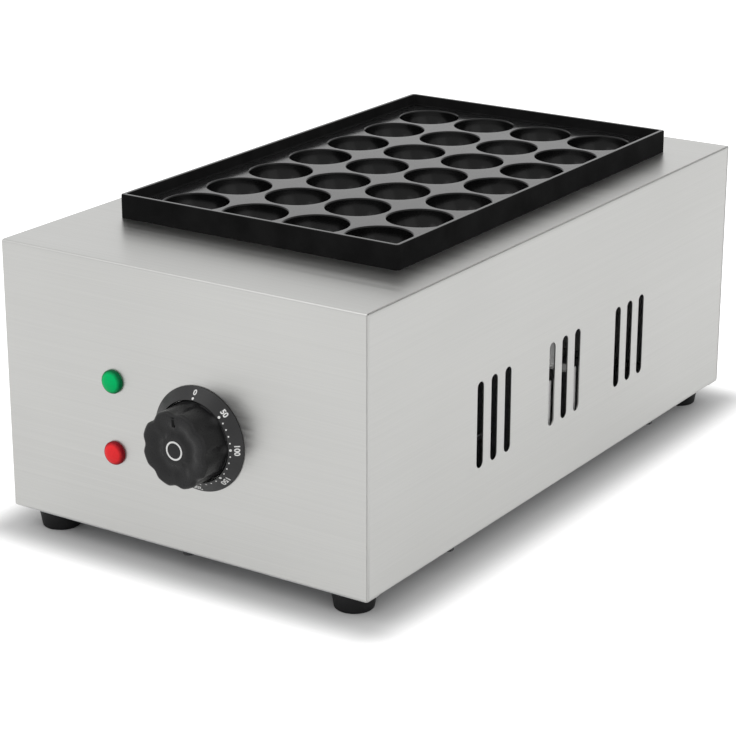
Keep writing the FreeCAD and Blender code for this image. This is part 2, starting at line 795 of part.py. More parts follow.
def clamp_parts():
    """Bars across the heater legs, drawn up by bolts into the pan."""
    half = "tube_far_x + clamp_overhang"
    for place, shift in (("front", " - clamp_spread"), ("middle", ""), ("rear", " + clamp_spread")):
        bar = add_body("clamp_bar_" + place)
        middle = f"pan_mid_y{shift}"
        pad(bar, "z", "clamp_low_z", [rectangle(
            f"-({half})", f"{middle} - clamp_width / 2", half, f"{middle} + clamp_width / 2")],
            "clamp_thickness")
        cut(bar, "z", "clamp_top_z", [hole("stud_diameter", f"{sign}bolt_x", middle)
                                      for sign in ("-", "")], "2 * clamp_thickness")
        keep(bar)
    bolt = add_body("clamp_bolt")
    pad(bolt, "z", "-bolt_head_height", [hexagon("small_nut_flats")], "bolt_head_height")
    pad(bolt, "z", "0", [shank("stud_diameter")], "clamp_thickness + tube_radius + stud_embed")
    keep(copies("clamp_bolts", bolt, [(x, y, "clamp_low_z") for x, y in bolt_spots()]))


# Sheet parts inside

def control_divider():
    """The wall between the controls and the hot space, with a foot on the side flanges."""
    body = add_body("control_divider")
    half = "half_width - gauge - divider_side_gap"
    low, high = "base_z + gauge", "inside_top_z - gauge - fit_gap"
    pad(body, "x", f"-({half})", [polygon(
        ("divider_y", low), ("divider_rear_y + divider_foot", low),
        ("divider_rear_y + divider_foot", f"{low} + divider_gauge"),
        ("divider_rear_y", f"{low} + divider_gauge"), ("divider_rear_y", high),
        ("divider_y", high))], f"2 * ({half})")
    holes = [hole("tube_diameter", x, "tube_z") for x in LEGS]
    holes.append(hole("capillary_diameter", "0", "bulb_z"))
    holes.append(vent("wire_slot_x", "base_z + wire_slot_rise",
                      "base_z + wire_slot_rise + wire_slot_height", "wire_slot_width", "vent_corner"))
    cut(body, "y", "divider_y", holes, "2 * divider_gauge")
    keep(body)


def heat_tray():
    """A shallow tray under the heaters with an insulation pad in it, on four stepped stands."""
    tray = add_body("heat_tray")
    half, near, far = "half_width - tray_side_gap", "divider_rear_y", "rear_y - gauge - tray_rear_gap"
    pad(tray, "z", "tray_z", [rectangle(f"-({half})", near, half, far)], "tray_wall")
    cut(tray, "z", "tray_z + tray_wall", [rectangle(
        f"-({half}) + tray_gauge", f"{near} + tray_gauge", f"{half} - tray_gauge",
        f"{far} - tray_gauge")], "tray_wall - tray_gauge")
    quilt = add_body("insulation_pad")
    inset = "(tray_gauge + pad_gap)"
    pad(quilt, "z", "tray_z + tray_gauge + fit_gap", [rectangle(
        f"-({half}) + {inset}", f"{near} + {inset}", f"{half} - {inset}", f"{far} - {inset}")],
        "pad_thickness")
    keep(tray, quilt)


def tray_stands():
    """Stepped strips from the side flanges up to the tray, two on each side."""
    body = add_body("tray_stand")
    low, step_z = "base_z + gauge", "base_z + stand_step_rise"
    outer, inner = "stand_x", "stand_x - stand_step"
    pad(body, "y", "vent_mid_y - (stand_spread + stand_width) / 2", [polygon(
        (f"{outer} - stand_foot", low), (outer, low), (outer, f"{step_z} + stand_gauge"),
        (f"{inner} + stand_gauge", f"{step_z} + stand_gauge"), (f"{inner} + stand_gauge", "tray_z"),
        (f"{inner} - stand_foot", "tray_z"), (f"{inner} - stand_foot", "tray_z - stand_gauge"),
        (inner, "tray_z - stand_gauge"), (inner, step_z), (f"{outer} - stand_gauge", step_z),
        (f"{outer} - stand_gauge", f"{low} + stand_gauge"),
        (f"{outer} - stand_foot", f"{low} + stand_gauge"))], "stand_width")
    right = copies("tray_stands_right", body, [("0", "0", "0"), ("0", "stand_spread", "0")])
    keep(right, mirrored("tray_stands_left", right))


# Thermostat, dial and knob

def thermostat_spots():
    return [f"dial_x {side} thermostat_screw_spread / 2" for side in "-+"]


def thermostat():
    """The switch body on its bracket, with its screws and its tabs."""
    half_w, half_h = "thermostat_width / 2", "thermostat_height / 2"
    outline = rectangle(f"dial_x - {half_w}", f"dial_z - {half_h}",
                        f"dial_x + {half_w}", f"dial_z + {half_h}")
    holes = [hole("thermostat_screw_diameter", x, "dial_z") for x in thermostat_spots()]
    bracket = add_body("thermostat_bracket")
    pad(bracket, "y", "front_y + gauge", [outline, hole("shaft_hole", "dial_x", "dial_z")] + holes,
        "bracket_gauge")
    body = add_body("thermostat_body")
    back = "front_y + gauge + bracket_gauge"
    pad(body, "y", back, [outline], "thermostat_depth")
    smooth(body, lines_along(body.Shape, "y", [
        (f"dial_x {a} {half_w}", f"dial_z {b} {half_h}") for a in "-+" for b in "-+"]),
        "thermostat_corner", "Chamfer")
    cut(body, "y", back, [circle("dial_x", "dial_z", "shaft_diameter / 2 + shaft_gap")] + holes,
        "shaft_bearing")
    tabs = add_body("thermostat_tabs")
    pad(tabs, "y", f"{back} + thermostat_depth", [
        rectangle(f"dial_x {a} (tab_spread + tab_width) / 2", f"dial_z {b} tab_rise - tab_gauge / 2",
                  f"dial_x {a} (tab_spread - tab_width) / 2", f"dial_z {b} tab_rise + tab_gauge / 2")
        for a in "-+" for b in "-+"], "tab_length")
    fastener = screw("thermostat_screw", "y", "thermostat_screw_head", "thermostat_screw_head_height",
                     "thermostat_screw_diameter", "gauge + bracket_gauge + shaft_bearing / 2")
    keep(bracket, body, tabs, copies("thermostat_screws", fastener, [
        (x, "front_y", "dial_z") for x in thermostat_spots()]))


def sensor():
    """The bulb that the clamp bars press to the pan, and the capillary from the thermostat."""
    bulb = add_body("sensor_bulb")
    pad(bulb, "y", "bulb_end_y - bulb_length", [circle("0", "bulb_z", "bulb_diameter / 2")],
        "bulb_length")
    line = add_body("capillary")
    pad(line, "z", "dial_z + thermostat_height / 2", [
        shank("capillary_diameter", "0", "capillary_y")], "bulb_z - dial_z - thermostat_height / 2")
    pad(line, "y", "capillary_y - capillary_diameter / 2", [
        shank("capillary_diameter", "0", "bulb_z")],
        "bulb_end_y - bulb_length - capillary_y + capillary_diameter / 2")
    keep(bulb, line)


def dial_bezel():
    """The scale disc behind the knob, with openings over the thermostat's screws."""
    body = add_body("dial_bezel", "dial_x", "front_y", "dial_z")
    pad(body, "y", "-bezel_thickness", [circle("0", "0", "bezel_diameter / 2"), hole("bezel_bore")],
        "bezel_thickness")
    cut(body, "y", "0", [hole("thermostat_screw_head", f"{side}thermostat_screw_spread / 2", "0")
                         for side in ("-", "")], "2 * bezel_thickness")
    return keep(body)


def knob():
    """A knob with eight shallow scallops round its grip, on a shaft with one flat."""
    body = add_body("knob", "dial_x", "front_y - bezel_thickness - knob_gap", "dial_z")
    skirt, top = "knob_skirt_diameter / 2", "knob_top_diameter / 2"
    spin(body, "z", [
        ("0", "-knob_height"), (f"{top} - knob_edge", "-knob_height"), (top, "-knob_height + knob_edge"),
        (top, "-knob_skirt_height"), (skirt, "-knob_skirt_height"), (skirt, "0"), ("0", "0")], "V_Axis")
    scallop = cut(body, "y", "-knob_height", [circle(
        f"{top} + knob_scallop_diameter / 2 - knob_scallop_depth", "0", "knob_scallop_diameter / 2")],
        "knob_height - knob_skirt_height")
    pattern = body.newObject("PartDesign::PolarPattern", "scallops")
    pattern.Originals = [scallop]
    pattern.Axis = (scallop.Profile[0], ["N_Axis"])
    pattern.setExpression("Occurrences", bound("knob_lobes"))
    pattern.Angle = 360
    body.Tip = pattern
    DOC.recompute()
    cut(body, "y", "0", [shaft_outline("shaft_diameter / 2 + shaft_gap")], "shaft_reach + shaft_gap")
    shaft = add_body("thermostat_shaft", "dial_x", "front_y", "dial_z")
    pad(shaft, "y", "-bezel_thickness - knob_gap - shaft_reach", [shaft_outline("shaft_diameter / 2")],
        "shaft_reach")
    pad(shaft, "y", "-bezel_thickness - knob_gap", [circle("0", "0", "shaft_diameter / 2")],
        "bezel_thickness + knob_gap + gauge + bracket_gauge + shaft_bearing - shaft_gap")
    keep(body, shaft)


def shaft_outline(radius):
    """A round shaft's section with one flat, at the same gap as its round side."""
    return "dee", (radius, f"({radius}) - shaft_flat")


def draw_dee(sketch, radius, flat):
    r, h = value(radius), value(flat)
    half = math.sqrt(r * r - h * h)
    angle = math.atan2(h, half)
    arc = sketch.addGeometry(Part.ArcOfCircle(
        Part.Circle(Vector(0, 0, 0), Vector(0, 0, 1), r), math.pi - angle, 2 * math.pi + angle), False)
    line = sketch.addGeometry(Part.LineSegment(Vector(half, h, 0), Vector(-half, h, 0)), False)
    sketch.addConstraint(Sketcher.Constraint("Coincident", arc, 2, line, 1))
    sketch.addConstraint(Sketcher.Constraint("Coincident", arc, 1, line, 2))
    sketch.addConstraint(Sketcher.Constraint("Horizontal", line))
    fix_point(sketch, arc, 3, "0", "0")
    fix_radius(sketch, arc, radius)
    number = sketch.addConstraint(Sketcher.Constraint("DistanceY", -1, 1, line, 1, h))
    sketch.setExpression(f"Constraints[{number}]", bound(flat))


DRAW["dee"] = lambda sketch, numbers: draw_dee(sketch, *numbers)


# Lamps and cable inlet

def lamps():
    """Two signal lamps, each a domed lens and its barrel moulded in one, with a spring nut."""
    for colour in ("green", "red"):
        rise = "lamp_rise_high" if colour == "green" else "lamp_rise_low"
        body = add_body(f"lamp_{colour}", "lamp_x", "front_y", f"base_z + {rise}")
        pad(body, "y", "-lamp_lens_height", [many_sided(16, "lamp_lens_diameter")], "lamp_lens_height")
        smooth(body, edges_in_plane(body.Shape, "y", "front_y - lamp_lens_height"),
               "lamp_lens_height - lamp_lens_edge", "Chamfer")
        pad(body, "y", "0", [shank("lamp_barrel_diameter")], "lamp_barrel_length")
        keep(body)
    ring = nut("lamp_nut", "y", "lamp_nut_flats", "lamp_barrel_diameter", "lamp_nut_height")
    keep(copies("lamp_nuts", ring, [("lamp_x", "front_y + gauge", f"base_z + {rise}")
                                    for rise in ("lamp_rise_low", "lamp_rise_high")]))


def cable_gland():
    """The gland for the supply cable in the rear panel: body, locknut and cap."""
    body = add_body("gland_body", "gland_x", "rear_y", "gland_z")
    pad(body, "y", "-gland_thread_length", [shank("gland_thread_diameter")],
        "gland_thread_length + gland_hex_height + gland_neck_length")
    pad(body, "y", "0", [hexagon("gland_flats")], "gland_hex_height")
    cut(body, "y", "0", [circle("0", "0", "cable_diameter / 2")],
        "2 * (gland_thread_length + gland_neck_length)")
    ring = nut("gland_nut", "y", "gland_flats", "gland_thread_diameter", "gland_nut_height")
    put(ring, "gland_x", "rear_y - gauge - gland_nut_height", "gland_z")
    cap = add_body("gland_cap", "gland_x", "rear_y + gland_hex_height + gland_cap_gap", "gland_z")
    pad(cap, "y", "0", [hexagon("gland_flats")], "gland_cap_height - gland_nose")
    pad(cap, "y", "gland_cap_height - gland_nose", [shank("gland_nose_diameter")], "gland_nose")
    cut(cap, "y", "0", [hole("gland_thread_diameter")], "gland_cap_height - gland_nose")
    cut(cap, "y", "gland_cap_height", [shank("gland_mouth")], "gland_cap_height")
    keep(body, ring, cap)


# Terminals

def terminals():
    """The terminal block for the supply, its screws, and the earth stud with its nut."""
    block = add_body("terminal_block", "block_x", "front_y + block_setback", "base_z")
    half_w, half_d = "terminal_width / 2", "terminal_depth / 2"
    poles = ("-terminal_pitch", "0", "terminal_pitch")
    pad(block, "z", "0", [rectangle(f"-{half_w}", f"-{half_d}", half_w, half_d)], "terminal_height")
    cut(block, "z", "terminal_height", [
        hole("terminal_screw_head", x, f"{sign}terminal_screw_spread / 2")
        for x in poles for sign in ("-", "")], "terminal_well_depth")
    cut(block, "y", "0", [rectangle(
        f"{x} - terminal_entry / 2", "terminal_entry_rise", f"{x} + terminal_entry / 2",
        "terminal_entry_rise + terminal_entry") for x in poles], f"{half_d} + 1")
    fastener = add_body("terminal_screw")
    pad(fastener, "z", "-terminal_well_depth", [shank("terminal_screw_head")],
        "terminal_well_depth - terminal_screw_sink")
    spots = [(f"block_x + {x}", f"front_y + block_setback {sign} terminal_screw_spread / 2",
              "base_z + terminal_height") for x in poles for sign in "-+"]
    stud = screw("earth_stud", "z", "small_nut_flats", "bolt_head_height", "stud_diameter",
                 "base_gauge + small_nut_height + stud_spare")
    put(stud, "earth_x", "front_y + block_setback", "plate_low_z")
    ring = nut("earth_nut", "z", "small_nut_flats", "stud_diameter", "small_nut_height")
    put(ring, "earth_x", "front_y + block_setback", "base_z")
    keep(block, copies("terminal_screws", fastener, spots), stud, ring)


def build():
    """Makes every sub-part, from the casing inwards."""
    casing_wrap()
    side_panels()
    base_parts()
    feet()
    mould_pan()
    pan_clips()
    heating_elements()
    element_ends()
    clamp_parts()
    control_divider()
    heat_tray()
    tray_stands()
    thermostat()
    sensor()
    dial_bezel()
    knob()
    lamps()
    cable_gland()
    terminals()


def check_and_write():
    """Stops on anything that failed, then writes each node."""
    DOC.recompute()
    for item in DOC.Objects:
        if "Invalid" in item.State or "Error" in item.State:
            raise ValueError(f"{item.Name} failed: {item.State}")
    for piece in NODES:
        if piece.Shape.isNull() or not piece.Shape.isValid():
            raise ValueError(f"{piece.Label} has no valid shape")
    os.makedirs("parts", exist_ok=True)
    for piece in NODES:
        piece.Shape.exportStep(f"parts/{piece.Label}.step")
        print(f"{piece.Label}: {len(piece.Shape.Solids)} solids, {piece.Shape.Volume:.0f} mm3")


build()
check_and_write()
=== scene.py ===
"""Takoyaki maker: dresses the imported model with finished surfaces, a studio and a camera."""

import enum
import logging
import math
from dataclasses import dataclass, field
from typing import Callable, Sequence

import bmesh
import bpy
from mathutils import Matrix, Vector


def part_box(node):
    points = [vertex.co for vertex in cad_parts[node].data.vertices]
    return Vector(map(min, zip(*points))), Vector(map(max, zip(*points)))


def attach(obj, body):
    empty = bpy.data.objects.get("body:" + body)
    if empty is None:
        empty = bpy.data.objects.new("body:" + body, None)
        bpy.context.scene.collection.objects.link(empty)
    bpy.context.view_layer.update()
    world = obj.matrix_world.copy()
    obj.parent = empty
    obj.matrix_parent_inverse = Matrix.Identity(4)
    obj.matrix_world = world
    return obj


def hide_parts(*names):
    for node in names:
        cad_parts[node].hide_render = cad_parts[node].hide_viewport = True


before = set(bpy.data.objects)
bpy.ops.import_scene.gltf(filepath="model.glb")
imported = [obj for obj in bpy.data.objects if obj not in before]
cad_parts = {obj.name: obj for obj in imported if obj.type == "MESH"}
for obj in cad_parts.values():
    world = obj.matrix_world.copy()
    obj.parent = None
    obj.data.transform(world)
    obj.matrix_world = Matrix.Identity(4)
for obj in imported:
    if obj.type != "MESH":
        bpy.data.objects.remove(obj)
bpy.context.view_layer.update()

log = logging.getLogger("takoyaki_maker")

MM = 0.001
POLE = 1e-6  # a turned ring this small stands for a point
WELD = 1e-7  # points nearer than this are one
FLAT_WEIGHT = 80  # how far broad faces lead the shading beside a bend
FULL_TURN = 2 * math.pi
QUARTER = math.pi / 2

Point2 = tuple[float, float]
Triple = tuple[float, float, float]
Ring = list[Vector]
Shape = Callable[[float, float], float]  # angle and height to a factor on the radius
Mesh = bpy.types.Mesh
Material = bpy.types.Material
Socket = bpy.types.NodeSocket


class Axis(enum.Enum):
    """A direction of the machine, as a number into a vector."""

    ACROSS = 0
    ALONG = 1


class Panel(enum.Enum):
    """A panel that a turned piece looks out of, as its turn about X in degrees."""

    FRONT = 90.0
    REAR = -90.0


# Node materials


class Graph:
    """A node tree, with short calls to add and join its nodes."""

    def __init__(self, tree: bpy.types.NodeTree) -> None:
        """Takes hold of a tree."""
        self.tree = tree

    def node(self, kind: str, *feeds: object, **settings: object) -> bpy.types.Node:
        """Adds a node, with its inputs fed and its properties set.

        Args:
            kind: the node's type.
            *feeds: what its inputs get in order: a socket, a value, or None for their own.
            **settings: properties to set on it.

        Returns:
            The node.
        """
        made = self.tree.nodes.new(kind)
        for name, setting in settings.items():
            setattr(made, name, setting)
        for end, feed in zip(made.inputs, feeds):
            if isinstance(feed, Socket):
                self.join(feed, end)
            elif feed is not None:
                end.default_value = feed
        return made

    def join(self, start: Socket, end: Socket) -> None:
        """Links an output to an input."""
        self.tree.links.new(start, end)

    def combined(self, operation: str, first: Socket, second: Socket | float) -> Socket:
        """Works on two numbers with a Math node's operation."""
        return self.node("ShaderNodeMath", first, second, operation=operation).outputs[0]

    def vector(self, operation: str, place: Socket,
               numbers: Triple | None = None) -> bpy.types.Node:
        """Works on a place with a Vector Math node's operation."""
        return self.node("ShaderNodeVectorMath", place, numbers, operation=operation)

    def rays(self, *kinds: str) -> Socket:
        """Tells rays of some kinds from all others.

        Args:
            *kinds: names of Light Path's outputs.

        Returns:
            1 for a ray of any of the kinds, and 0 for the others.
        """
        path = self.node("ShaderNodeLightPath").outputs
        found = path[kinds[0]]
        for kind in kinds[1:]:
            found = self.combined("MAXIMUM", found, path[kind])
        return found

    def span(self, value: Socket, low: float, high: float, start: float = 0.3, end: float = 0.7,
             smooth: bool = False) -> Socket:
        """Maps a value from start..end to low..high, and stops there.

        Args:
            value: the value to map.
            low: result at start.
            high: result at end.
            start: value that gives low.
            end: value that gives high.
            smooth: whether it eases in and out.

        Returns:
            The mapped value.
        """
        easing = "SMOOTHSTEP" if smooth else "LINEAR"
        return self.node("ShaderNodeMapRange", value, start, end, low, high,
                         interpolation_type=easing).outputs["Result"]


class MaterialGraph(Graph):
    """The tree of a new material, round its one shader."""

    def __init__(self, name: str) -> None:
        """Starts the material.

        Args:
            name: the material's name.
        """
        self.material = bpy.data.materials.new(name)
        self.material.use_nodes = True
        super().__init__(self.material.node_tree)
        self.tree.nodes.clear()
        self.surface = self.node("ShaderNodeOutputMaterial").inputs["Surface"]
        self.shader = self.node("ShaderNodeBsdfPrincipled")
        self.join(self.shader.outputs["BSDF"], self.surface)
        self.place = self.node("ShaderNodeTexCoord").outputs["Object"]

    def noise(self, stretch: Sequence[float], detail: float) -> Socket:
        """Adds a noise whose grain differs along each axis.

        Args:
            stretch: waves per metre along X, Y and Z.
            detail: octaves of the noise.

        Returns:
            The noise's value, about 0.5 on the whole.
        """
        scale, roughness = 1.0, 0.55
        mapping = self.node("ShaderNodeMapping", self.place, None, None, tuple(stretch))
        return self.node("ShaderNodeTexNoise", mapping.outputs[0], None, scale, detail,
                         roughness).outputs["Fac"]

    def tint(self, value: Socket, dark: Sequence[float], light: Sequence[float]) -> None:
        """Colours the surface between two colours.

        Args:
            value: how far to go from dark to light.
            dark: linear colour at 0.
            light: linear colour at 1.
        """
        ramp = self.node("ShaderNodeValToRGB", value)
        for stop, colour in zip(ramp.color_ramp.elements, (dark, light)):
            stop.color = (*colour, 1.0)
        self.join(ramp.outputs["Color"], self.shader.inputs["Base Color"])

    def roughen(self, value: Socket, low: float, high: float) -> None:
        """Spreads the surface's roughness between two numbers by a value."""
        self.join(self.span(value, low, high), self.shader.inputs["Roughness"])

    def emboss(self, height: Socket, strength: float, depth: float) -> None:
        """Bumps the surface by a height.

        Args:
            height: the height's pattern, from 0 to 1.
            strength: how much of the bump shows.
            depth: the pattern's depth in metres.
        """
        bump = self.node("ShaderNodeBump", strength, depth, None, height)
        self.join(bump.outputs["Normal"], self.shader.inputs["Normal"])

    def set(self, **sockets: float) -> None:
        """Sets plain numbers on the shader, with spaces written as underscores."""
        for name, number in sockets.items():
            self.shader.inputs[name.replace("_", " ")].default_value = number


@dataclass(frozen=True)
class BrushedSheet:
    """Stainless sheet with fine brush lines along one direction."""

    name: str
    tone: float
    lines: Axis
    roughness: Point2 = (0.29, 0.40)
    contrast: float = 0.014
    wander: float = 0.012
    blue: float = 0.975
    hair: Point2 = (2600.0, 9.0)  # waves per metre across the lines and along them
    band: Point2 = (520.0, 3.0)
    cloud: float = 6.0
    bump: float = 0.12
    depth: float = 0.00003

    def brushed(self, grain: Point2) -> list[float]:
        """The waves per metre along X, Y and Z of a grain that follows the lines."""
        return [grain[number == self.lines.value] for number in range(3)]

    def make(self) -> Material:
        """Builds the material.

        Returns:
            The material.
        """
        graph = MaterialGraph(self.name)
        hair = graph.noise(self.brushed(self.hair), detail=2.0)
        band = graph.noise(self.brushed(self.band), detail=3.0)
        cloud = graph.noise((self.cloud,) * 3, detail=2.0)
        lines = graph.combined("ADD", graph.span(hair, -self.contrast, self.contrast),
                               graph.span(band, -self.contrast / 2, self.contrast / 2))
        drift = graph.span(cloud, self.tone - self.wander, self.tone + self.wander)
        grey = graph.combined("ADD", lines, drift)
        blue = graph.combined("MULTIPLY", grey, self.blue)
        colour = graph.node("ShaderNodeCombineColor", grey, grey, blue)
        graph.join(colour.outputs["Color"], graph.shader.inputs["Base Color"])
        graph.roughen(band, *self.roughness)
        graph.emboss(hair, self.bump, self.depth)
        graph.set(Metallic=1.0)
        return graph.material


@dataclass(frozen=True)
class Finish:
    """A plain finish with its own mottle, unevenness and sheen."""

    name: str
    colour: Triple
    roughness: float = 0.5
    metallic: float = 0.0
    mottle: float = 0.15
    grain: float = 900.0
    bump: float = 0.15
    depth: float = 0.00005
    specular: float = 0.5
    ior: float = 1.5
    cloud: float = 60.0
    uneven: float = 0.06

    def make(self) -> Material:
        """Builds the material.

        Returns:
            The material.
        """
        graph = MaterialGraph(self.name)
        cloud = graph.noise((self.cloud,) * 3, detail=4.0)
        speck = graph.noise((self.grain,) * 3, detail=3.0)
        dark = [part * (1.0 - self.mottle) for part in self.colour]
        light = [min(1.0, part * (1.0 + self.mottle)) for part in self.colour]
        graph.tint(graph.span(cloud, 0.0, 1.0), dark, light)
        graph.roughen(speck, self.roughness - self.uneven, self.roughness + self.uneven)
        graph.emboss(speck, self.bump, self.depth)
        graph.set(Metallic=self.metallic, Specular_IOR_Level=self.specular, IOR=self.ior)
        return graph.material


@dataclass(frozen=True)
class LensFinish:
    """A coloured lamp lens, with painted light bright over its bulb that fades dark towards its
    rim.
    """

    name: str
    core: Triple
    rim: Triple
    centre: Triple
    radius: float
    fade: Point2 = (0.70, 0.97)  # shares of the radius where it starts and ends
    swirl: float = 700.0
    swirl_share: float = 0.08
    roughness: Point2 = (0.16, 0.26)
    grain: float = 1500.0
    bump: float = 0.08
    depth: float = 0.00003
    specular: float = 0.06

    def make(self) -> Material:
        """Builds the material.

        Returns:
            The material.
        """
        graph = MaterialGraph(self.name)
        # painted light: the lens colour is bright in the middle and darkens outward from it
        flat = graph.vector("MULTIPLY", graph.place, (1.0, 0.0, 1.0)).outputs["Vector"]
        apart = graph.vector("DISTANCE", flat, (self.centre[0], 0.0, self.centre[2]))
        painted_light_falloff = graph.span(apart.outputs["Value"], 0.0, 1.0,
                             *(self.radius * share for share in self.fade))
        swirl = graph.noise((self.swirl,) * 3, detail=2.0)
        uneven = graph.span(swirl, -self.swirl_share, self.swirl_share)
        graph.tint(graph.combined("ADD", painted_light_falloff, uneven), self.core, self.rim)
        graph.roughen(swirl, *self.roughness)
        graph.emboss(graph.noise((self.grain,) * 3, detail=1.0), self.bump, self.depth)
        graph.set(Specular_IOR_Level=self.specular)
        return graph.material


# Mesh work


def rectangle(low: Sequence[float], high: Sequence[float], inset: float = 0.0) -> list[Point2]:
    """The corners of a rectangle.

    Args:
        low: its lowest corner.
        high: its highest corner.
        inset: how far inside these two the corners lie.

    Returns:
        The corners in order, from the lowest.
    """
    left, right = low[0] + inset, high[0] - inset
    near, far = low[1] + inset, high[1] - inset
    return [(left, near), (right, near), (right, far), (left, far)]


def at_height(points: Sequence[Point2], height: float) -> Ring:
    """Flat points, laid at a height."""
    return [Vector((x, y, height)) for x, y in points]


def arc(centre: Point2, reach: Point2, turns: Point2, steps: int) -> list[Point2]:
    """Points along a part of an ellipse.

    Args:
        centre: its middle.
        reach: its radius along each axis, below zero where it is mirrored.
        turns: the first and last angle.
        steps: segments in it.

    Returns:
        The points, with both ends.
    """
    angles = [turns[0] + (turns[1] - turns[0]) * step / steps for step in range(steps + 1)]
    return [(centre[0] + reach[0] * math.cos(angle), centre[1] + reach[1] * math.sin(angle))
            for angle in angles]


def turned_ring(radius: float, height: float, sides: int, shape: Shape | None = None) -> Ring:
    """A ring about the Z axis.

    Args:
        radius: its radius in metres.
        height: its height.
        sides: number of points.
        shape: factor on the radius at each angle and height.

    Returns:
        The points.
    """
    points = []
    for number in range(sides):
        angle = FULL_TURN * number / sides
        reach = radius * (shape(angle, height) if shape else 1.0)
        points.append((reach * math.cos(angle), reach * math.sin(angle)))
    return at_height(points, height)


def closed_work(work: bmesh.types.BMesh, weld: float = 0.0) -> Mesh:
    """Turns mesh work into a mesh and closes the work.

    Args:
        work: the mesh work.
        weld: points nearer than this become one.

    Returns:
        The mesh.
    """
    if weld:
        bmesh.ops.remove_doubles(work, verts=work.verts, dist=weld)
    mesh = bpy.data.meshes.new("work")
    work.to_mesh(mesh)
    work.free()
    return mesh


def skin(rings: Sequence[Ring], cap_first: bool = True, cap_last: bool = True,
         closed: bool = False) -> Mesh:
    """Joins rings of the same length with quads.

    Args:
        rings: the rings in order.
        cap_first: whether to close the first one.
        cap_last: whether to close the last one.
        closed: whether the last ring joins the first.

    Returns:
        The mesh.
    """
    work = bmesh.new()
    rows = [[work.verts.new(point) for point in ring] for ring in rings]
    pairs = list(zip(rows, rows[1:]))
    if closed:
        pairs.append((rows[-1], rows[0]))
    for lower, upper in pairs:
        for number in range(len(lower)):
            after = (number + 1) % len(lower)
            work.faces.new((lower[number], lower[after], upper[after], upper[number]))
    if cap_first and not closed:
        work.faces.new(list(reversed(rows[0])))
    if cap_last and not closed:
        work.faces.new(rows[-1])
    bmesh.ops.remove_doubles(work, verts=work.verts, dist=WELD)
    bmesh.ops.recalc_face_normals(work, faces=work.faces)
    return closed_work(work)


def soften(profile: Sequence[Point2], radius: float, steps: int = 5,
           closed: bool = False) -> list[Point2]:
    """Rounds the inner corners of a profile.

    Args:
        profile: its points.
        radius: rounding radius, cut down where a side is too short for it.
        steps: segments in each rounding.
        closed: whether it ends at its first point again.

    Returns:
        The rounded profile.
    """
    longest = 0.49  # share of a side that a rounding may take
    straight = math.radians(175)  # a corner flatter than this stays as it is
    made = [profile[0]]
    for before, corner, after in zip(profile, profile[1:], profile[2:]):
        middle = Vector(corner)
        into, out = Vector(before) - middle, Vector(after) - middle
        turn = into.angle(out, math.pi)
        if turn > straight:
            made.append(corner)
            continue
        reach = min(radius / math.tan(turn / 2), into.length * longest, out.length * longest)
        start, end = middle + into.normalized() * reach, middle + out.normalized() * reach
        for step in range(steps + 1):
            part = step / steps
            made.append(tuple(start.lerp(middle, part).lerp(middle.lerp(end, part), part)))
    return made + [profile[-1]] + [profile[0]] * closed


def lathe(profile: Sequence[Point2], sides: int, shape: Shape | None = None) -> Mesh:
    """Turns a profile of radius and height about the Z axis.

    Args:
        profile: the points, from one pole or rim to the other.
        sides: number of segments round.
        shape: factor on the radius at each angle and height.

    Returns:
        The mesh.
    """
    rings = [turned_ring(max(radius, POLE), height, sides, shape) for radius, height in profile]
    solid = profile[0][0] < POLE and profile[-1][0] < POLE
    looped = profile[0] == profile[-1]
    return skin(rings[:-1] if looped else rings, solid, solid, looped)


def box_mesh(low: Sequence[float], high: Sequence[float]) -> Mesh:
    """A box between two corners."""
    return skin([at_height(rectangle(low, high), height) for height in (low[2], high[2])])


def joined(meshes: Sequence[Mesh], weld: float = 0.0) -> Mesh:
    """Puts several meshes into one.

    Args:
        meshes: the meshes, which are used up.
        weld: points nearer than this become one.

    Returns:
        The mesh.
    """
    work = bmesh.new()
    for mesh in meshes:
        work.from_mesh(mesh)
        bpy.data.meshes.remove(mesh)
    return closed_work(work, weld)


def mesh_of(curve: bpy.types.Curve) -> Mesh:
    """Turns a curve into a mesh.

    Args:
        curve: the curve, which is used up.

    Returns:
        The mesh.
    """
    holder = bpy.data.objects.new("curve", curve)
    mesh = bpy.data.meshes.new_from_object(holder)
    bpy.data.objects.remove(holder)
    bpy.data.curves.remove(curve)
    return mesh


def moved(mesh: Mesh, place: Matrix) -> Mesh:
    """Moves a mesh and keeps its faces outward.

    Args:
        mesh: the mesh.
        place: the move, which may mirror it.

    Returns:
        The same mesh.
    """
    mesh.transform(place)
    if place.determinant() < 0:
        mesh.flip_normals()
    return mesh


def piece(name: str, mesh: Mesh, material: Material, stands_for: str = "",
          smooth_to: float = 35.0, body: str = "body", gauge: float = 0.0) -> bpy.types.Object:
    """Makes an object of the machine and fixes it to a body.

    Args:
        name: the piece's name.
        mesh: its mesh, in the frame.
        material: its finish.
        stands_for: the CAD node that it replaces.
        smooth_to: edges sharper than this angle in degrees stay sharp.
        body: the body that it rides on.
        gauge: thickness that a sheet gains on its inner side.

    Returns:
        The object.
    """
    mesh.name = name
    mesh.shade_smooth()
    mesh.set_sharp_from_angle(angle=math.radians(smooth_to))
    mesh.materials.clear()
    mesh.materials.append(material)
    made = bpy.data.objects.new(name, mesh)
    bpy.context.scene.collection.objects.link(made)
    if gauge:
        thick = made.modifiers.new("gauge", "SOLIDIFY")
        thick.thickness = gauge
        thick.offset = -1.0
    even = made.modifiers.new("level_flats", "WEIGHTED_NORMAL")
    even.keep_sharp = True
    even.weight = FLAT_WEIGHT
    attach(made, body)
    if stands_for:
        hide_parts(stands_for)
    log.info("%s rides on %s", name, body)
    return made


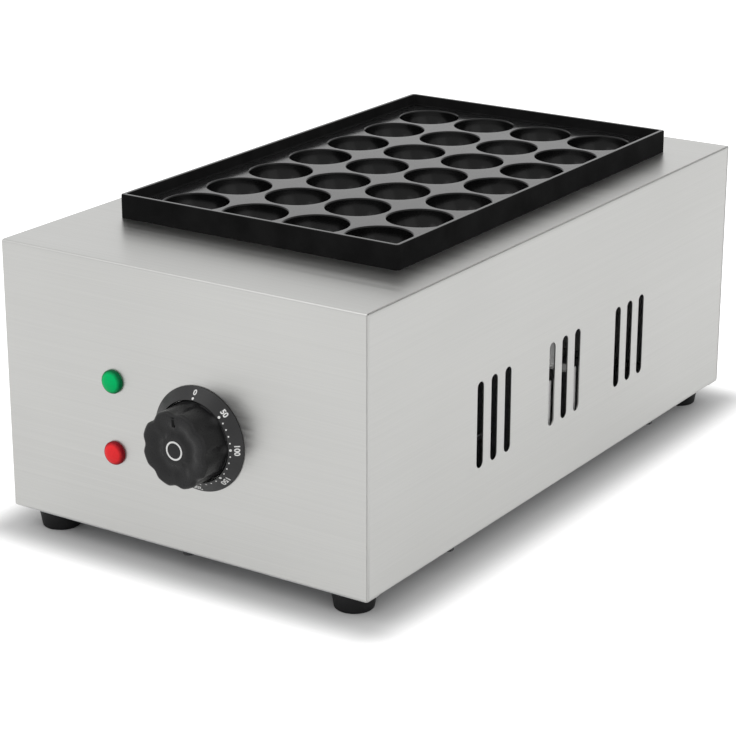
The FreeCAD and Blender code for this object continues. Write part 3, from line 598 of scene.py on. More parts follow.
def finish_nodes(material: Material, *names: str) -> None:
    """Gives CAD nodes their finish.

    Args:
        material: the finish.
        *names: the nodes.
    """
    for name in names:
        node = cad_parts[name]
        node.data.materials.clear()
        node.data.materials.append(material)
        log.info("%s keeps its solid", name)


@dataclass
class Assembly:
    """A sub-assembly, placed by the box of one CAD node."""

    node: str
    low: Vector = field(init=False)
    high: Vector = field(init=False)
    middle: Vector = field(init=False)

    def __post_init__(self) -> None:
        """Reads the node's box from the frame."""
        self.low, self.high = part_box(self.node)
        self.middle = (self.low + self.high) / 2

    @property
    def radius(self) -> float:
        """Half of the box's width."""
        return (self.high.x - self.low.x) / 2

    def facing(self, panel: Panel, y: float) -> Matrix:
        """Places what is made along Z in line with the box, at a Y, to look out of a panel."""
        turn = Matrix.Rotation(math.radians(panel.value), 4, "X")
        return Matrix.Translation((self.middle.x, y, self.middle.z)) @ turn


# Casing


@dataclass
class Casing(Assembly):
    """The bent wrap and its two flanged side panels with nine vents each."""

    node: str = "casing_wrap"
    gauge: float = 0.8 * MM
    wrap_bend: float = 1.8 * MM
    panel_bend: float = 1.5 * MM
    lap: float = 12.0 * MM
    ledge_across: float = 7.0 * MM  # how far the top reaches under the pan's rim
    ledge_along: float = 5.0 * MM
    vent_width: float = 7.0 * MM
    vent_length: float = 51.0 * MM
    vent_middle: float = 64.8 * MM
    vent_setback: float = 208.5 * MM
    vent_pitch: float = 15.0 * MM
    group_pitch: float = 80.4 * MM
    vent_steps: int = 10
    cut_edge: float = 0.12 * MM
    bend_steps: int = 6
    weld: float = 1e-6
    level: float = 0.95  # normals with more Z than this belong to the top, which gets the painted-light tone
    bend_angle: float = 50.0

    def build(self) -> None:
        """Builds the wrap and the panels."""
        # each face's tone is set to how bright it looks under the light; the top's lighter tone is
        # painted light
        self.wrap(BrushedSheet("brushed_front", 0.505, Axis.ACROSS).make(),
                  BrushedSheet("brushed_top_painted_light", 0.535, Axis.ACROSS).make())
        self.panels(BrushedSheet("brushed_side", 0.502, Axis.ALONG).make())

    def wrap(self, material: Material, top: Material) -> None:
        """Bends one sheet over the front, top and rear, open under the pan.

        Args:
            material: the sheet's finish.
            top: its finish on the top, the same sheet in a lighter tone that paints the light
                falling on the top.
        """
        low, high = self.low, self.high
        pan_low, pan_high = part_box("mould_pan")
        front, rear = pan_low.y + self.ledge_along, pan_high.y - self.ledge_along
        opening = pan_high.x - self.ledge_across
        path = soften([
            (low.y + self.lap, low.z), (low.y, low.z), (low.y, high.z), (high.y, high.z),
            (high.y, low.z), (high.y - self.lap, low.z)], self.wrap_bend, self.bend_steps)
        front_path = [point for point in path if point[0] <= front] + [(front, high.z)]
        rear_path = [(rear, high.z)] + [point for point in path if point[0] >= rear]
        sheet = joined([self.strip(path, low.x, -opening), self.strip(path, opening, high.x),
                        self.strip(front_path, -opening, opening),
                        self.strip(rear_path, -opening, opening)], self.weld)
        piece("casing_skin", sheet, material, "casing_wrap", self.bend_angle,
              gauge=self.gauge)
        sheet.materials.append(top)
        # the top's faces take the lighter tone, painted light on the top
        for face in sheet.polygons:
            face.material_index = int(abs(face.normal.z) > self.level
                                      and face.center.z > self.middle.z)

    @staticmethod
    def strip(path: Sequence[Point2], left: float, right: float) -> Mesh:
        """A strip of sheet along a path in the YZ plane.

        Args:
            path: points of Y and Z.
            left: lowest X.
            right: highest X.

        Returns:
            The mesh.
        """
        points = [(x, y, z) for y, z in path for x in (left, right)]
        quads = [(first, first + 1, first + 3, first + 2)
                 for first in range(0, len(points) - 2, 2)]
        mesh = bpy.data.meshes.new("strip")
        mesh.from_pydata(points, [], quads)
        return mesh

    def panels(self, material: Material) -> None:
        """Builds both side panels from one outline with round-ended vents.

        Args:
            material: the sheet's finish.
        """
        low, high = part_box("side_panel_right")
        for side, mirror in (("right", 1.0), ("left", -1.0)):
            mesh = joined([self.vented_face(low, high), self.panel_rim(low, high)])
            mesh = moved(mesh, Matrix.Scale(mirror, 4, (1, 0, 0)))
            piece(f"side_skin_{side}", mesh, material, f"side_panel_{side}",
                  smooth_to=40.0)

    def vents(self) -> list[list[Point2]]:
        """The outlines of the nine vents.

        Returns:
            A loop of Y and Z for each, front to rear.
        """
        half = self.vent_width / 2
        reach = self.vent_length / 2 - half
        middle, height = self.low.y + self.vent_setback, self.low.z + self.vent_middle
        half_turn = [math.pi * step / self.vent_steps for step in range(self.vent_steps + 1)]
        past = math.pi * 1.0001  # so that no two points fall in one place
        turns = half_turn + [past + angle for angle in half_turn]
        places = [middle + self.group_pitch * group + self.vent_pitch * number
                  for group in (-1, 0, 1) for number in (-1, 0, 1)]
        return [[(place + half * math.cos(angle),
                  height + half * math.sin(angle) + (reach if angle < math.pi else -reach))
                 for angle in turns] for place in places]

    def vented_face(self, low: Vector, high: Vector) -> Mesh:
        """The flat of the right panel with its vents cut through.

        Args:
            low: lowest corner of the panel.
            high: highest corner of the panel.

        Returns:
            The mesh.
        """
        curve = bpy.data.curves.new("vented_face", "CURVE")
        curve.dimensions = "2D"
        curve.fill_mode = "BOTH"
        for loop in [rectangle(low.yz, high.yz, self.panel_bend)] + self.vents():
            spline = curve.splines.new("POLY")
            spline.points.add(len(loop) - 1)
            for point, (y, z) in zip(spline.points, loop):
                point.co = (y, z, 0.0, 1.0)
            spline.use_cyclic_u = True
        curve.extrude = self.gauge / 2 - self.cut_edge
        curve.bevel_depth = self.cut_edge
        curve.bevel_resolution = 1
        curve.offset = -self.cut_edge
        outside = high.x - self.gauge / 2
        stand = Matrix(((0, 0, 1, outside), (1, 0, 0, 0), (0, 1, 0, 0), (0, 0, 0, 1)))
        return moved(mesh_of(curve), stand)

    def panel_rim(self, low: Vector, high: Vector) -> Mesh:
        """The bend and flange round the right panel.

        Args:
            low: lowest corner of the panel.
            high: highest corner of the panel.

        Returns:
            The mesh.
        """
        bend, gauge = self.panel_bend, self.gauge
        section = arc((bend, bend), (-bend, -bend), (QUARTER, 0.0), self.bend_steps)
        section += [(0.0, self.lap), (gauge, self.lap), (gauge, bend), (bend, gauge)]
        return skin([[Vector((high.x - depth, y, z)) for y, z in rectangle(low.yz, high.yz, inset)]
                     for inset, depth in section], closed=True)


# Mould pan


@dataclass
class MouldPan(Assembly):
    """The cast plate with its rimmed deck, round cups and lower block."""

    node: str = "mould_pan"
    columns: int = 4
    rows: int = 7
    pitch: float = 42.0 * MM
    cup_radius: float = 19.0 * MM
    lip: float = 0.9 * MM
    rim_wall: float = 3.2 * MM
    rim_rise: float = 14.0 * MM
    rim_round: float = 0.7 * MM
    rim_foot: Point2 = (0.5 * MM, 1.2 * MM)  # where the rim's inner side runs into the deck
    deck_sink: float = 6.5 * MM
    corner: float = 2.5 * MM
    inner_corner: float = 1.0 * MM
    block_margin: float = 5.0 * MM
    sides: int = 48
    lip_steps: int = 4
    cup_steps: int = 12
    corner_steps: int = 6
    level: float = 0.97  # normals with more Z than this belong to the deck
    near: float = 0.1 * MM  # a face this near the deck's height counts as on it

    def build(self) -> None:
        """Builds the pan as one piece, with finishes of its own for deck and cups, the cups
        painted darker for the shade in their hollows.
        """
        coat = Finish("pan_coat", (0.0100, 0.0100, 0.0101), roughness=0.34, mottle=0.25,
                      grain=1400.0, bump=0.10, depth=0.00003, specular=0.05, ior=1.12)
        deck = Finish("pan_deck_coat", (0.010, 0.010, 0.0103), roughness=0.15, mottle=0.2,
                      grain=1400.0, bump=0.05, depth=0.00002)
        # the cups' coat is the pan's coating painted darker, for the shade in the hollows, and
        # glossier
        cups = Finish("pan_cup_coat_painted_shade", (0.0032, 0.0032, 0.0033), roughness=0.20, mottle=0.25,
                      grain=1400.0, bump=0.08, depth=0.00002, specular=0.2)
        meshes = [self.deck(), self.rim(), self.block()]
        for x, y in self.centres():
            meshes.append(moved(self.cup(), Matrix.Translation((x, y, self.deck_z))))
        pan = piece("pan_skin", joined(meshes), coat.make(), "mould_pan",
                    smooth_to=38.0)
        pan.data.materials.append(deck.make())
        pan.data.materials.append(cups.make())
        low, high = self.cup_field()
        top, bottom = self.deck_z, self.deck_z - self.cup_radius
        for face in pan.data.polygons:
            x, y, z = face.center
            if face.normal.z > self.level and z > top - self.near:
                face.material_index = 1
            elif (low.x < x < high.x and low.y < y < high.y
                  and bottom - self.near < z < top + self.near):
                face.material_index = 2

    @property
    def deck_z(self) -> float:
        """Height of the deck between the cups."""
        return self.high.z - self.deck_sink

    def cup_field(self) -> tuple[Vector, Vector]:
        """Lowest and highest corner of the field of cups."""
        half = Vector((self.columns, self.rows, 0)) * self.pitch / 2
        return self.middle - half, self.middle + half

    def centres(self) -> list[Point2]:
        """The middles of the cups.

        Returns:
            X and Y of each.
        """
        return [(self.middle.x + (column - (self.columns - 1) / 2) * self.pitch,
                 self.middle.y + (row - (self.rows - 1) / 2) * self.pitch)
                for row in range(self.rows) for column in range(self.columns)]

    def cup(self) -> Mesh:
        """One cell of the deck: a square that runs over a rounded lip into a round cup.

        Returns:
            The mesh, with the deck at height 0.
        """

        def squared(angle: float, level: float) -> float:
            """Factor on the radius that makes a ring square."""
            return 1.0 / max(abs(math.cos(angle)), abs(math.sin(angle)))

        radius, lip, smallest = self.cup_radius, self.lip, 0.01 * MM
        start = math.asin(lip / (radius + lip))
        profile = arc((radius + lip, -lip), (-lip, lip), (QUARTER, start), self.lip_steps)
        profile += arc((0.0, 0.0), (radius, -radius), (start, QUARTER), self.cup_steps)[1:]
        rings = [turned_ring(self.pitch / 2, 0.0, self.sides, squared)]
        rings += [turned_ring(max(reach, smallest), height, self.sides)
                  for reach, height in profile]
        return skin(rings, cap_first=False)

    def rounded_rectangle(self, inset: float, height: float, corner: float) -> Ring:
        """A ring round the pan with rounded corners.

        Args:
            inset: how far inside the pan's edge it lies.
            height: its height.
            corner: its corner radius.

        Returns:
            The points.
        """
        points = []
        for number, (x, y) in enumerate(rectangle(self.low, self.high, inset + corner)):
            start = QUARTER * (number + 2)
            points += arc((x, y), (corner, corner), (start, start + QUARTER), self.corner_steps)
        return at_height(points, height)

    def rim(self) -> Mesh:
        """The raised rim with softened edges, down to the casing's top.

        Returns:
            The mesh.
        """
        top, base, over = self.high.z, self.high.z - self.rim_rise, self.rim_round
        wall, outer, inner = self.rim_wall, self.corner, self.inner_corner
        eased = over * 0.3  # the rounding's middle lies this far from both sides
        sections = [(0.0, base, outer), (0.0, top - over, outer), (eased, top - eased, outer),
                    (over, top, outer - over), (wall - over, top, inner + over),
                    (wall - eased, top - eased, inner), (wall, top - over, inner),
                    (wall + self.rim_foot[0], self.deck_z + self.rim_foot[0], inner),
                    (wall + self.rim_foot[1], self.deck_z, inner),
                    (wall + self.rim_foot[1], base, inner)]
        return skin([self.rounded_rectangle(*section) for section in sections], closed=True)

    def deck(self) -> Mesh:
        """The plain margin of the deck round the field of cups.

        Returns:
            The mesh.
        """
        inner = rectangle(*self.cup_field())
        outer = rectangle(self.low, self.high, self.rim_wall + self.rim_foot[0])
        return skin([at_height(inner, self.deck_z), at_height(outer, self.deck_z)], False, False)

    def block(self) -> Mesh:
        """The rim's underside and the block that hangs from it into the casing, open at the cups.

        Returns:
            The mesh.
        """
        grown = self.cup_radius + self.block_margin - self.pitch / 2
        outline = rectangle(*self.cup_field(), -grown)
        under = self.high.z - self.rim_rise
        return skin([at_height(rectangle(self.low, self.high, self.corner), under),
                     at_height(outline, under), at_height(outline, self.low.z)], cap_first=False)


# Dial and knob


@dataclass
class Dial(Assembly):
    """The coned scale ring with its dots and numbers."""

    node: str = "dial_bezel"
    rim_height: float = 0.9 * MM
    crest_radius: float = 23.5 * MM
    crest_height: float = 6.0 * MM
    crest_drop: float = 0.3 * MM
    bore_radius: float = 23.2 * MM
    bore_foot: float = 0.1 * MM
    edge_round: float = 0.4 * MM
    dot_ring: float = 24.5 * MM
    dot: float = 0.45 * MM
    big_dot: float = 0.75 * MM
    number_ring: float = 27.2 * MM
    number_size: float = 4.3 * MM
    number_weight: float = 0.13 * MM
    first: int = 50
    last: int = 300
    step: int = 10
    labelled_every: int = 50
    degrees_per_label: float = 45.0
    ink: float = 0.06 * MM
    sides: int = 128
    dot_sides: int = 16

    def build(self) -> None:
        """Builds the ring, then prints its scale."""
        black = Finish("dial_black", (0.013, 0.013, 0.0135), roughness=0.36, mottle=0.2,
                       grain=1600.0, bump=0.12, specular=0.4).make()
        white = Finish("dial_print", (0.78, 0.78, 0.77), roughness=0.55, mottle=0.06,
                       grain=2500.0, bump=0.05).make()
        bore, crest = self.bore_radius, self.crest_height
        profile = soften([
            (bore, 0.0), (self.radius, 0.0), (self.radius, self.rim_height),
            (self.crest_radius, crest), (bore, crest - self.crest_drop),
            (bore, self.bore_foot)], self.edge_round, closed=True)
        stand = self.facing(Panel.FRONT, self.high.y)
        piece("dial_ring", moved(lathe(profile, self.sides), stand), black, "dial_bezel")
        piece("dial_dots", self.dots(), white)
        piece("dial_numbers", self.numbers(), white)

    def on_cone(self, angle: float, radius: float) -> Matrix:
        """A place on the ring's cone, with its second axis down the slope.

        Args:
            angle: clockwise degrees from the top.
            radius: distance from the dial's middle.

        Returns:
            The place, with its third axis out of the surface.
        """
        turn = math.radians(angle)
        fall = math.atan2(self.crest_height - self.rim_height, self.radius - self.crest_radius)
        outward = Vector((math.sin(turn), 0.0, math.cos(turn)))
        along = Vector((math.cos(turn), 0.0, -math.sin(turn)))
        into = Vector((0.0, 1.0, 0.0))
        down = outward * math.cos(fall) + into * math.sin(fall)
        normal = outward * math.sin(fall) - into * math.cos(fall)
        height = self.crest_height - (radius - self.crest_radius) * math.tan(fall)
        seat = Vector((self.middle.x, self.high.y, self.middle.z))
        axes = Matrix((along, down, normal)).transposed().to_4x4()
        return Matrix.Translation(seat + outward * radius - into * height) @ axes

    def angle_of(self, number: int) -> float:
        """The clockwise angle of a temperature on the scale."""
        return number / self.labelled_every * self.degrees_per_label

    def dots(self) -> Mesh:
        """A dot at every step and a bigger one at each number and at off.

        Returns:
            The mesh.
        """
        meshes = []
        for number in (0, *range(self.first, self.last + 1, self.step)):
            radius = self.dot if number % self.labelled_every else self.big_dot
            section = [(0.0, 0.0), (radius, 0.0), (radius, self.ink), (0.0, self.ink)]
            place = self.on_cone(self.angle_of(number), self.dot_ring)
            meshes.append(moved(lathe(section, self.dot_sides), place))
        return joined(meshes)

    def numbers(self) -> Mesh:
        """The numbers round the scale, with their tops outward.

        Returns:
            The mesh.
        """
        meshes = []
        for number in (0, *range(self.first, self.last + 1, self.labelled_every)):
            curve = bpy.data.curves.new("number", "FONT")
            curve.body = str(number)
            curve.size = self.number_size
            curve.align_x = curve.align_y = "CENTER"
            curve.extrude = self.ink / 2
            curve.offset = self.number_weight
            place = self.on_cone(self.angle_of(number), self.number_ring)
            meshes.append(moved(mesh_of(curve), place @ Matrix.Translation((0, 0, self.ink / 2))))
        return joined(meshes)


@dataclass
class Knob(Assembly):
    """The moulded knob with narrow scallops, a dished face with a boss, and a dark strip that
    paints the shade of a pointer groove.
    """

    node: str = "knob"
    lobes: int = 8
    scallop: float = 1.6 * MM
    scallop_half_angle: float = 15.0
    scallop_run: float = 3.0 * MM  # height over which the scallops run out
    back_edge: Point2 = (0.8 * MM, 0.5 * MM)
    skirt: float = 3.0 * MM
    skirt_edge: float = 0.4 * MM
    skirt_step: float = 0.8 * MM
    grip_step: float = 1.6 * MM
    grip_foot: float = 0.3 * MM
    edge: float = 2.2 * MM
    edge_steps: int = 8
    groove_width: float = 1.6 * MM
    groove_reach: Point2 = (13.6 * MM, 19.2 * MM)
    groove_depth: Point2 = (1.5 * MM, 0.01 * MM)  # of its floor and of its filling, a dark strip painted as the groove's shade
    ring_radius: float = 5.4 * MM
    ring_width: float = 1.0 * MM
    ring_stand: float = 0.12 * MM
    ring_round: float = 0.05 * MM
    face_rings: tuple[Point2, ...] = (  # millimetres of radius, and down from the top
        (18.0, 0.05), (16.2, 0.25), (14.4, 0.85), (12.6, 1.50), (11.0, 1.65), (9.8, 1.35),
        (9.0, 0.85), (8.4, 0.57), (7.6, 0.50))
    boss_sink: float = 0.50 * MM
    sides: int = 240
    ring_sides: int = 64

    @property
    def height(self) -> float:
        """How far the knob stands out."""
        return self.high.y - self.low.y

    @property
    def grip_radius(self) -> float:
        """Radius of the grip at its lobes."""
        return self.radius - self.grip_step

    def build(self) -> None:
        """Builds the knob, its pointer and the ring on its face."""
        black = Finish("knob_black", (0.0148, 0.0148, 0.0152), roughness=0.30, mottle=0.12,
                       grain=2200.0, bump=0.14, depth=0.00004, specular=0.2).make()
        dark = Finish("pointer_groove_painted_shade", (0.003, 0.003, 0.003), roughness=0.6, grain=1800.0,
                      specular=0.1).make()
        white = Finish("knob_print", (0.76, 0.76, 0.75), mottle=0.05, grain=2500.0).make()
        stand = self.facing(Panel.FRONT, self.high.y)
        grip = lathe(self.profile(), self.sides, self.scalloped)
        piece("knob_grip", moved(grip, stand), black, "knob", smooth_to=50.0,
              body="knob")
        # the pointer is a dark strip set into the face, painted shade in place of a cut groove
        half, height = self.groove_width / 2, self.height
        groove = box_mesh((-half, self.groove_reach[0], height - self.groove_depth[0]),
                          (half, self.groove_reach[1], height - self.groove_depth[1]))
        piece("knob_pointer", moved(groove, stand), dark, body="knob")
        face, outer = height - self.boss_sink, self.ring_radius
        inner, top = outer - self.ring_width, face + self.ring_stand
        band = soften([(inner, face), (inner, top), (outer, top), (outer, face)], self.ring_round,
                      closed=True)
        piece("knob_ring", moved(lathe(band, self.ring_sides), stand), white, body="knob")

    def profile(self) -> list[Point2]:
        """The knob's section, from the middle of its back to the middle of its face.

        Returns:
            Points of radius and height.
        """
        top, height, skirt, edge = self.grip_radius, self.height, self.skirt, self.skirt_edge
        radius = self.radius - self.skirt_step
        points = [(0.0, 0.0), (radius - self.back_edge[0], 0.0), (radius, self.back_edge[1]),
                  (radius, skirt - edge), (radius - edge, skirt), (top, skirt + self.grip_foot)]
        for step in range(1, self.edge_steps + 1):
            points.append((top, skirt + (height - self.edge - skirt) * step / self.edge_steps))
        points += arc((top - self.edge, height - self.edge), (self.edge, self.edge),
                      (0.0, QUARTER), self.edge_steps)[1:]
        points += [(ring * MM, height - sink * MM) for ring, sink in self.face_rings]
        points.append((0.0, height - self.boss_sink))
        return points

    def scalloped(self, angle: float, level: float) -> float:
        """Factor on the radius that makes the scallops, which run out at the skirt.

        Args:
            angle: radians round the knob.
            level: height over the knob's back.

        Returns:
            The factor.
        """
        pitch = 360.0 / self.lobes
        off = abs((math.degrees(angle) + pitch / 2) % pitch - pitch / 2)
        if off >= self.scallop_half_angle:
            return 1.0
        above = min(1.0, max(0.0, (level - self.skirt) / self.scallop_run))
        above = above * above * (3 - 2 * above)
        wave = 0.5 + 0.5 * math.cos(math.pi * off / self.scallop_half_angle)
        return 1.0 - self.scallop / self.grip_radius * above * wave


# Lamps, feet, rear inlet and insides


@dataclass
class Lamp(Assembly):
    """A signal lamp on the front, with a domed lens."""

    slot: str
    # the lens colour over the bulb, painted light
    core: Triple
    rim: Triple
    rim_height: float = 1.3 * MM
    stem: float = 0.7  # share of the radius that passes through the panel
    dome: float = 0.985  # share of the radius where the dome starts
    dome_steps: int = 10
    sides: int = 64

    def build(self) -> None:
        """Builds the lens."""
        radius, panel = self.radius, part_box("casing_wrap")[0].y
        height, stem, back = panel - self.low.y, radius * self.stem, panel - self.high.y
        profile = [(0.0, back), (stem, back), (stem, 0.0), (radius, 0.0),
                   (radius, self.rim_height)]
        profile += arc((0.0, self.rim_height), (radius * self.dome, height - self.rim_height),
                       (0.0, QUARTER), self.dome_steps)[1:-1]
        profile.append((0.0, height))
        finish = LensFinish(self.node + "_lens", self.core, self.rim, tuple(self.middle), radius)
        lens = moved(lathe(profile, self.sides), self.facing(Panel.FRONT, panel))
        piece(self.node + "_dome", lens, finish.make(), self.node,
              smooth_to=40.0)


@dataclass
class Feet(Assembly):
    """Four rubber feet with rounded edges and a recess underneath."""

    node: str = "feet"
    top: float = 13.0 * MM
    bottom: float = 11.0 * MM
    recess: float = 5.5 * MM
    recess_depth: float = 6.0 * MM
    edge_round: float = 1.0 * MM
    sides: int = 64

    def build(self) -> None:
        """Builds the feet as one piece."""
        rubber = Finish("foot_rubber", (0.007, 0.007, 0.0075), roughness=0.6, mottle=0.2,
                        grain=1500.0, bump=0.3, depth=0.00008, specular=0.2).make()
        low, high = self.low, self.high
        height = high.z - low.z
        profile = soften([
            (0.0, self.recess_depth), (self.recess, self.recess_depth), (self.recess, 0.0),
            (self.bottom, 0.0), (self.top, height), (0.0, height)], self.edge_round)
        meshes = [moved(lathe(profile, self.sides), Matrix.Translation((x, y, low.z)))
                  for x in (low.x + self.top, high.x - self.top)
                  for y in (low.y + self.top, high.y - self.top)]
        piece("rubber_feet", joined(meshes), rubber, "feet")


@dataclass
class CableInlet(Assembly):
    """The gland in the rear panel, without a cable."""

    node: str = "gland_cap"
    bore: float = 8.3 * MM
    crown: float = 8.0 * MM
    taper: float = 5.0 * MM
    mouth: float = 4.6 * MM
    mouth_depth: float = 4.8 * MM
    edge_round: float = 0.8 * MM
    ribs: int = 20
    rib_share: float = 0.025
    rib_ends: Point2 = (0.5 * MM, 5.4 * MM)  # how far the ribs stop from each end
    sides: int = 160

    def build(self) -> None:
        """Gives the gland its nylon finish and a ribbed, rounded cap."""
        nylon = Finish("gland_nylon", (0.022, 0.022, 0.023), roughness=0.45, grain=1500.0,
                       bump=0.2).make()
        finish_nodes(nylon, "gland_body", "gland_nut")
        reach, length = (self.high.z - self.low.z) / 2, self.high.y - self.low.y
        inside = length - self.mouth_depth
        profile = soften([
            (self.bore, 0.0), (reach, 0.0), (reach, length - self.taper), (self.crown, length),
            (self.mouth, length), (self.mouth, inside), (self.bore, inside)], self.edge_round,
            closed=True)
        first, last = self.rib_ends[0], length - self.rib_ends[1]

        def ribbed(angle: float, level: float) -> float:
            """Factor on the radius that makes small grip ribs."""
            wave = 0.5 + 0.5 * math.cos(self.ribs * angle)
            return 1.0 - self.rib_share * wave * (first < level < last)

        cap = moved(lathe(profile, self.sides, ribbed), self.facing(Panel.REAR, self.low.y))
        piece("gland_ribbed_cap", cap, nylon, "gland_cap")


@dataclass
class Insides:
    """Finishes for the sheet parts, heaters and controls inside the casing."""

    # each finish: name, colour, roughness, metallic, mottle, grain, bump and depth
    dressed: tuple[tuple[Finish, tuple[str, ...]], ...] = (
        (Finish("galvanised_sheet", (0.50, 0.51, 0.52), 0.42, 1.0, 0.12, 260.0),
         ("base_plate", "control_divider", "thermostat_bracket")),
        # a dark sheet finish for the tray, its clamps and the pan clips
        (Finish("dark_sheet", (0.050, 0.046, 0.042), 0.6, 0.8, 0.25, 500.0),
         ("heat_tray", "clamp_bar_front", "clamp_bar_middle", "clamp_bar_rear",
          "pan_clips_left", "pan_clips_right")),
        (Finish("bright_strip", (0.86, 0.86, 0.85), 0.55, 0.15, 0.04, 700.0),
         ("tray_stands_left", "tray_stands_right")),
        (Finish("zinc_screws", (0.48, 0.49, 0.50), 0.36, 1.0, 0.1),
         ("foot_studs", "foot_nuts", "clip_screws_left", "clip_screws_right", "clamp_bolts",
          "element_pins", "thermostat_screws", "thermostat_shaft", "earth_stud", "earth_nut")),
        # the base screws are painted dark for the shade they sit in under the machine
        (Finish("base_screws_painted_shade", (0.03, 0.03, 0.032), 0.5, 0.6, 0.2), ("base_screws",)),
        (Finish("heater_sheath", (0.16, 0.15, 0.14), 0.5, 1.0, 0.25),
         ("heating_element_left", "heating_element_right")),
        (Finish("brass", (0.60, 0.42, 0.16), 0.35, 1.0, 0.1),
         ("element_fittings", "thermostat_tabs", "terminal_screws")),
        (Finish("copper", (0.62, 0.28, 0.16), 0.32, 1.0, 0.1), ("sensor_bulb", "capillary")),
        (Finish("steatite", (0.72, 0.69, 0.60), 0.7, 0.0, 0.08), ("element_insulators",)),
        (Finish("mineral_wool", (0.55, 0.50, 0.38), 0.95, 0.0, 0.25, 500.0, 0.8, 0.0006),
         ("insulation_pad",)),
        (Finish("phenolic", (0.030, 0.028, 0.027), 0.5, 0.0, 0.2), ("thermostat_body",)),
        (Finish("nylon_nut", (0.03, 0.03, 0.03)), ("lamp_nuts",)),
        (Finish("terminal_nylon", (0.70, 0.70, 0.66), 0.5, 0.0, 0.06), ("terminal_block",)))

    def build(self) -> None:
        """Dresses the CAD nodes that keep their solids."""
        for finish, nodes in self.dressed:
            finish_nodes(finish.make(), *nodes)


# Studio


@dataclass(frozen=True)
class SoftLight:
    """A soft square light aimed at the machine."""

    name: str
    place: Triple
    size: float
    power: float
    target: Triple = (0.0, 0.0, 0.1)

    def build(self) -> None:
        """Hangs the light."""
        lamp = bpy.data.lights.new(self.name, "AREA")
        lamp.size = self.size
        lamp.energy = self.power
        holder = bpy.data.objects.new(self.name, lamp)
        holder.location = self.place
        aim = Vector(self.target) - Vector(self.place)
        holder.rotation_euler = aim.to_track_quat("-Z", "Y").to_euler()
        bpy.context.scene.collection.objects.link(holder)


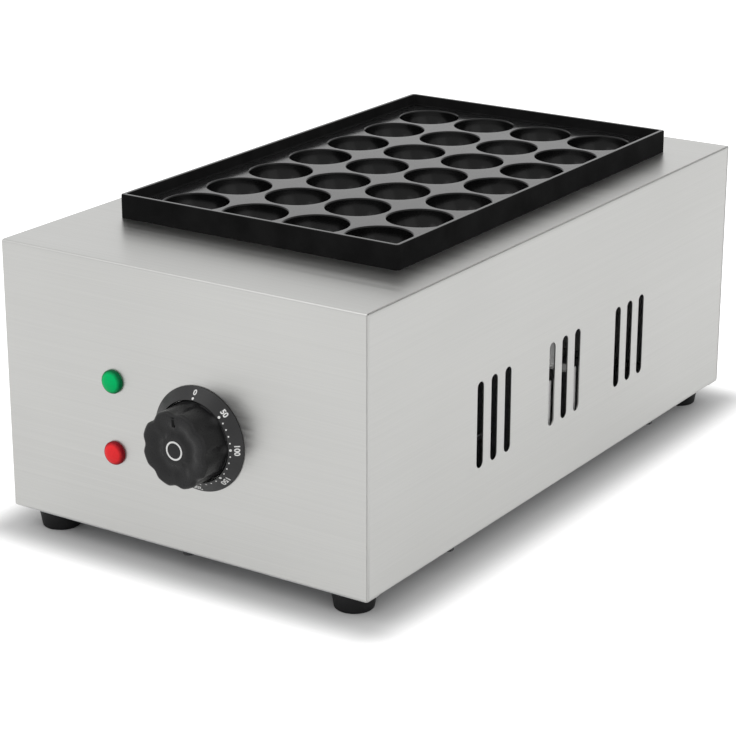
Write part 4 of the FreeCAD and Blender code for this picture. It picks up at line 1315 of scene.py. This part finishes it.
@dataclass
class Studio:
    """Pale floor, soft lights and the camera at the photograph's angle."""

    azimuth: float = 33.59
    elevation: float = 19.33
    distance: float = 1.2934
    lens: float = 116.40
    sensor: float = 36.0
    clip: Point2 = (0.05, 50.0)
    aim: Triple = (0.0778, -0.1415, 0.1158)
    floor_reach: float = 6.0
    floor_depth: float = 0.01
    floor_tone: float = 0.60
    floor_roughness: float = 0.9
    floor_specular: float = 0.1
    # the floor's white lift, seen and in reflections, fades to none near the machine: a painted
    # shadow round it
    floor_lift: float = 0.74
    lift_full: float = 0.036
    mirror_lift: float = 0.55
    mirror_full: float = 0.004
    footprint: Triple = (0.1225, 0.21, 1.0)
    lights: tuple[SoftLight, ...] = (SoftLight("key", (-0.9, -1.5, 1.9), 1.4, 6.0),
                                     SoftLight("fill", (1.9, -0.7, 1.3), 1.6, 3.6))
    sky: float = 0.95

    def build(self) -> None:
        """Builds the floor, the lights, the world and the camera."""
        self.floor()
        for light in self.lights:
            light.build()
        self.world()
        self.camera()
        bpy.context.scene.view_settings.view_transform = "Standard"

    def floor(self) -> None:
        """A wide pale floor that keeps the shadow and shows white, seen and in reflections, with a
        shadow painted where its white lift fades out near the machine.
        """
        reach, depth = self.floor_reach, self.floor_depth
        mesh = box_mesh((-reach, -reach, -depth), (reach, reach, 0.0))
        made = bpy.data.objects.new("floor", mesh)
        bpy.context.scene.collection.objects.link(made)
        graph = MaterialGraph("floor")
        graph.shader.inputs["Base Color"].default_value = (self.floor_tone,) * 3 + (1.0,)
        graph.set(Roughness=self.floor_roughness, Specular_IOR_Level=self.floor_specular)
        shown = graph.combined("MULTIPLY", graph.rays("Is Camera Ray"),
                               self.clearing(graph, self.floor_lift, self.lift_full))
        mirrored = graph.combined("MULTIPLY", graph.rays("Is Glossy Ray", "Is Transmission Ray"),
                                  self.clearing(graph, self.mirror_lift, self.mirror_full))
        lift = graph.node("ShaderNodeEmission", None, graph.combined("ADD", shown, mirrored))
        both = graph.node("ShaderNodeAddShader", graph.shader.outputs[0], lift.outputs[0])
        graph.join(both.outputs[0], graph.surface)
        mesh.materials.append(graph.material)

    def clearing(self, graph: MaterialGraph, lift: float, full_at: float) -> Socket:
        """How much the backdrop's white fills the floor, from none under the machine outward,
        which paints a shadow round it.

        Args:
            graph: the floor's node tree.
            lift: the strength in the open.
            full_at: how far out from the machine the strength is full.

        Returns:
            The strength.
        """
        place = graph.place
        for operation, numbers in (("ABSOLUTE", None), ("SUBTRACT", self.footprint),
                                   ("MAXIMUM", (0.0, 0.0, 0.0))):
            place = graph.vector(operation, place, numbers).outputs["Vector"]
        outward = graph.vector("LENGTH", place).outputs["Value"]
        return graph.span(outward, 0.0, lift, 0.0, full_at, smooth=True)

    def world(self) -> None:
        """White where it is seen, and a plain sky level where it lights."""
        world = bpy.data.worlds.new("studio")
        bpy.context.scene.world = world
        world.use_nodes = True
        graph = Graph(world.node_tree)
        background = world.node_tree.nodes["Background"]
        background.inputs["Color"].default_value = (1.0, 1.0, 1.0, 1.0)
        seen = graph.rays("Is Glossy Ray", "Is Transmission Ray", "Is Camera Ray")
        graph.join(graph.span(seen, self.sky, 1.0, 0.0, 1.0), background.inputs["Strength"])

    def camera(self) -> None:
        """Sets the camera at the photograph's place."""
        data = bpy.data.cameras.new("view")
        data.sensor_width = self.sensor
        data.lens = self.lens
        data.clip_start, data.clip_end = self.clip
        holder = bpy.data.objects.new("view", data)
        turn, lift = math.radians(self.azimuth), math.radians(self.elevation)
        back = Vector((math.sin(turn) * math.cos(lift), -math.cos(turn) * math.cos(lift),
                       math.sin(lift)))
        holder.location = Vector(self.aim) + back * self.distance
        holder.rotation_euler = (-back).to_track_quat("-Z", "Y").to_euler()
        bpy.context.scene.collection.objects.link(holder)
        bpy.context.scene.camera = holder


def main() -> None:
    """Builds the machine from the casing inwards, then the studio."""
    logging.basicConfig(level=logging.INFO, format="%(message)s")
    for assembly in (
            Casing(), MouldPan(), Dial(), Knob(),
            Lamp("lamp_green", "green_lens", (0.0004, 0.50, 0.140), (0.0010, 0.12, 0.040)),
            Lamp("lamp_red", "red_lens", (0.88, 0.034, 0.040), (0.22, 0.006, 0.012)),
            Feet(), CableInlet(), Insides(), Studio()):
        assembly.build()


if __name__ == "__main__":
    main()
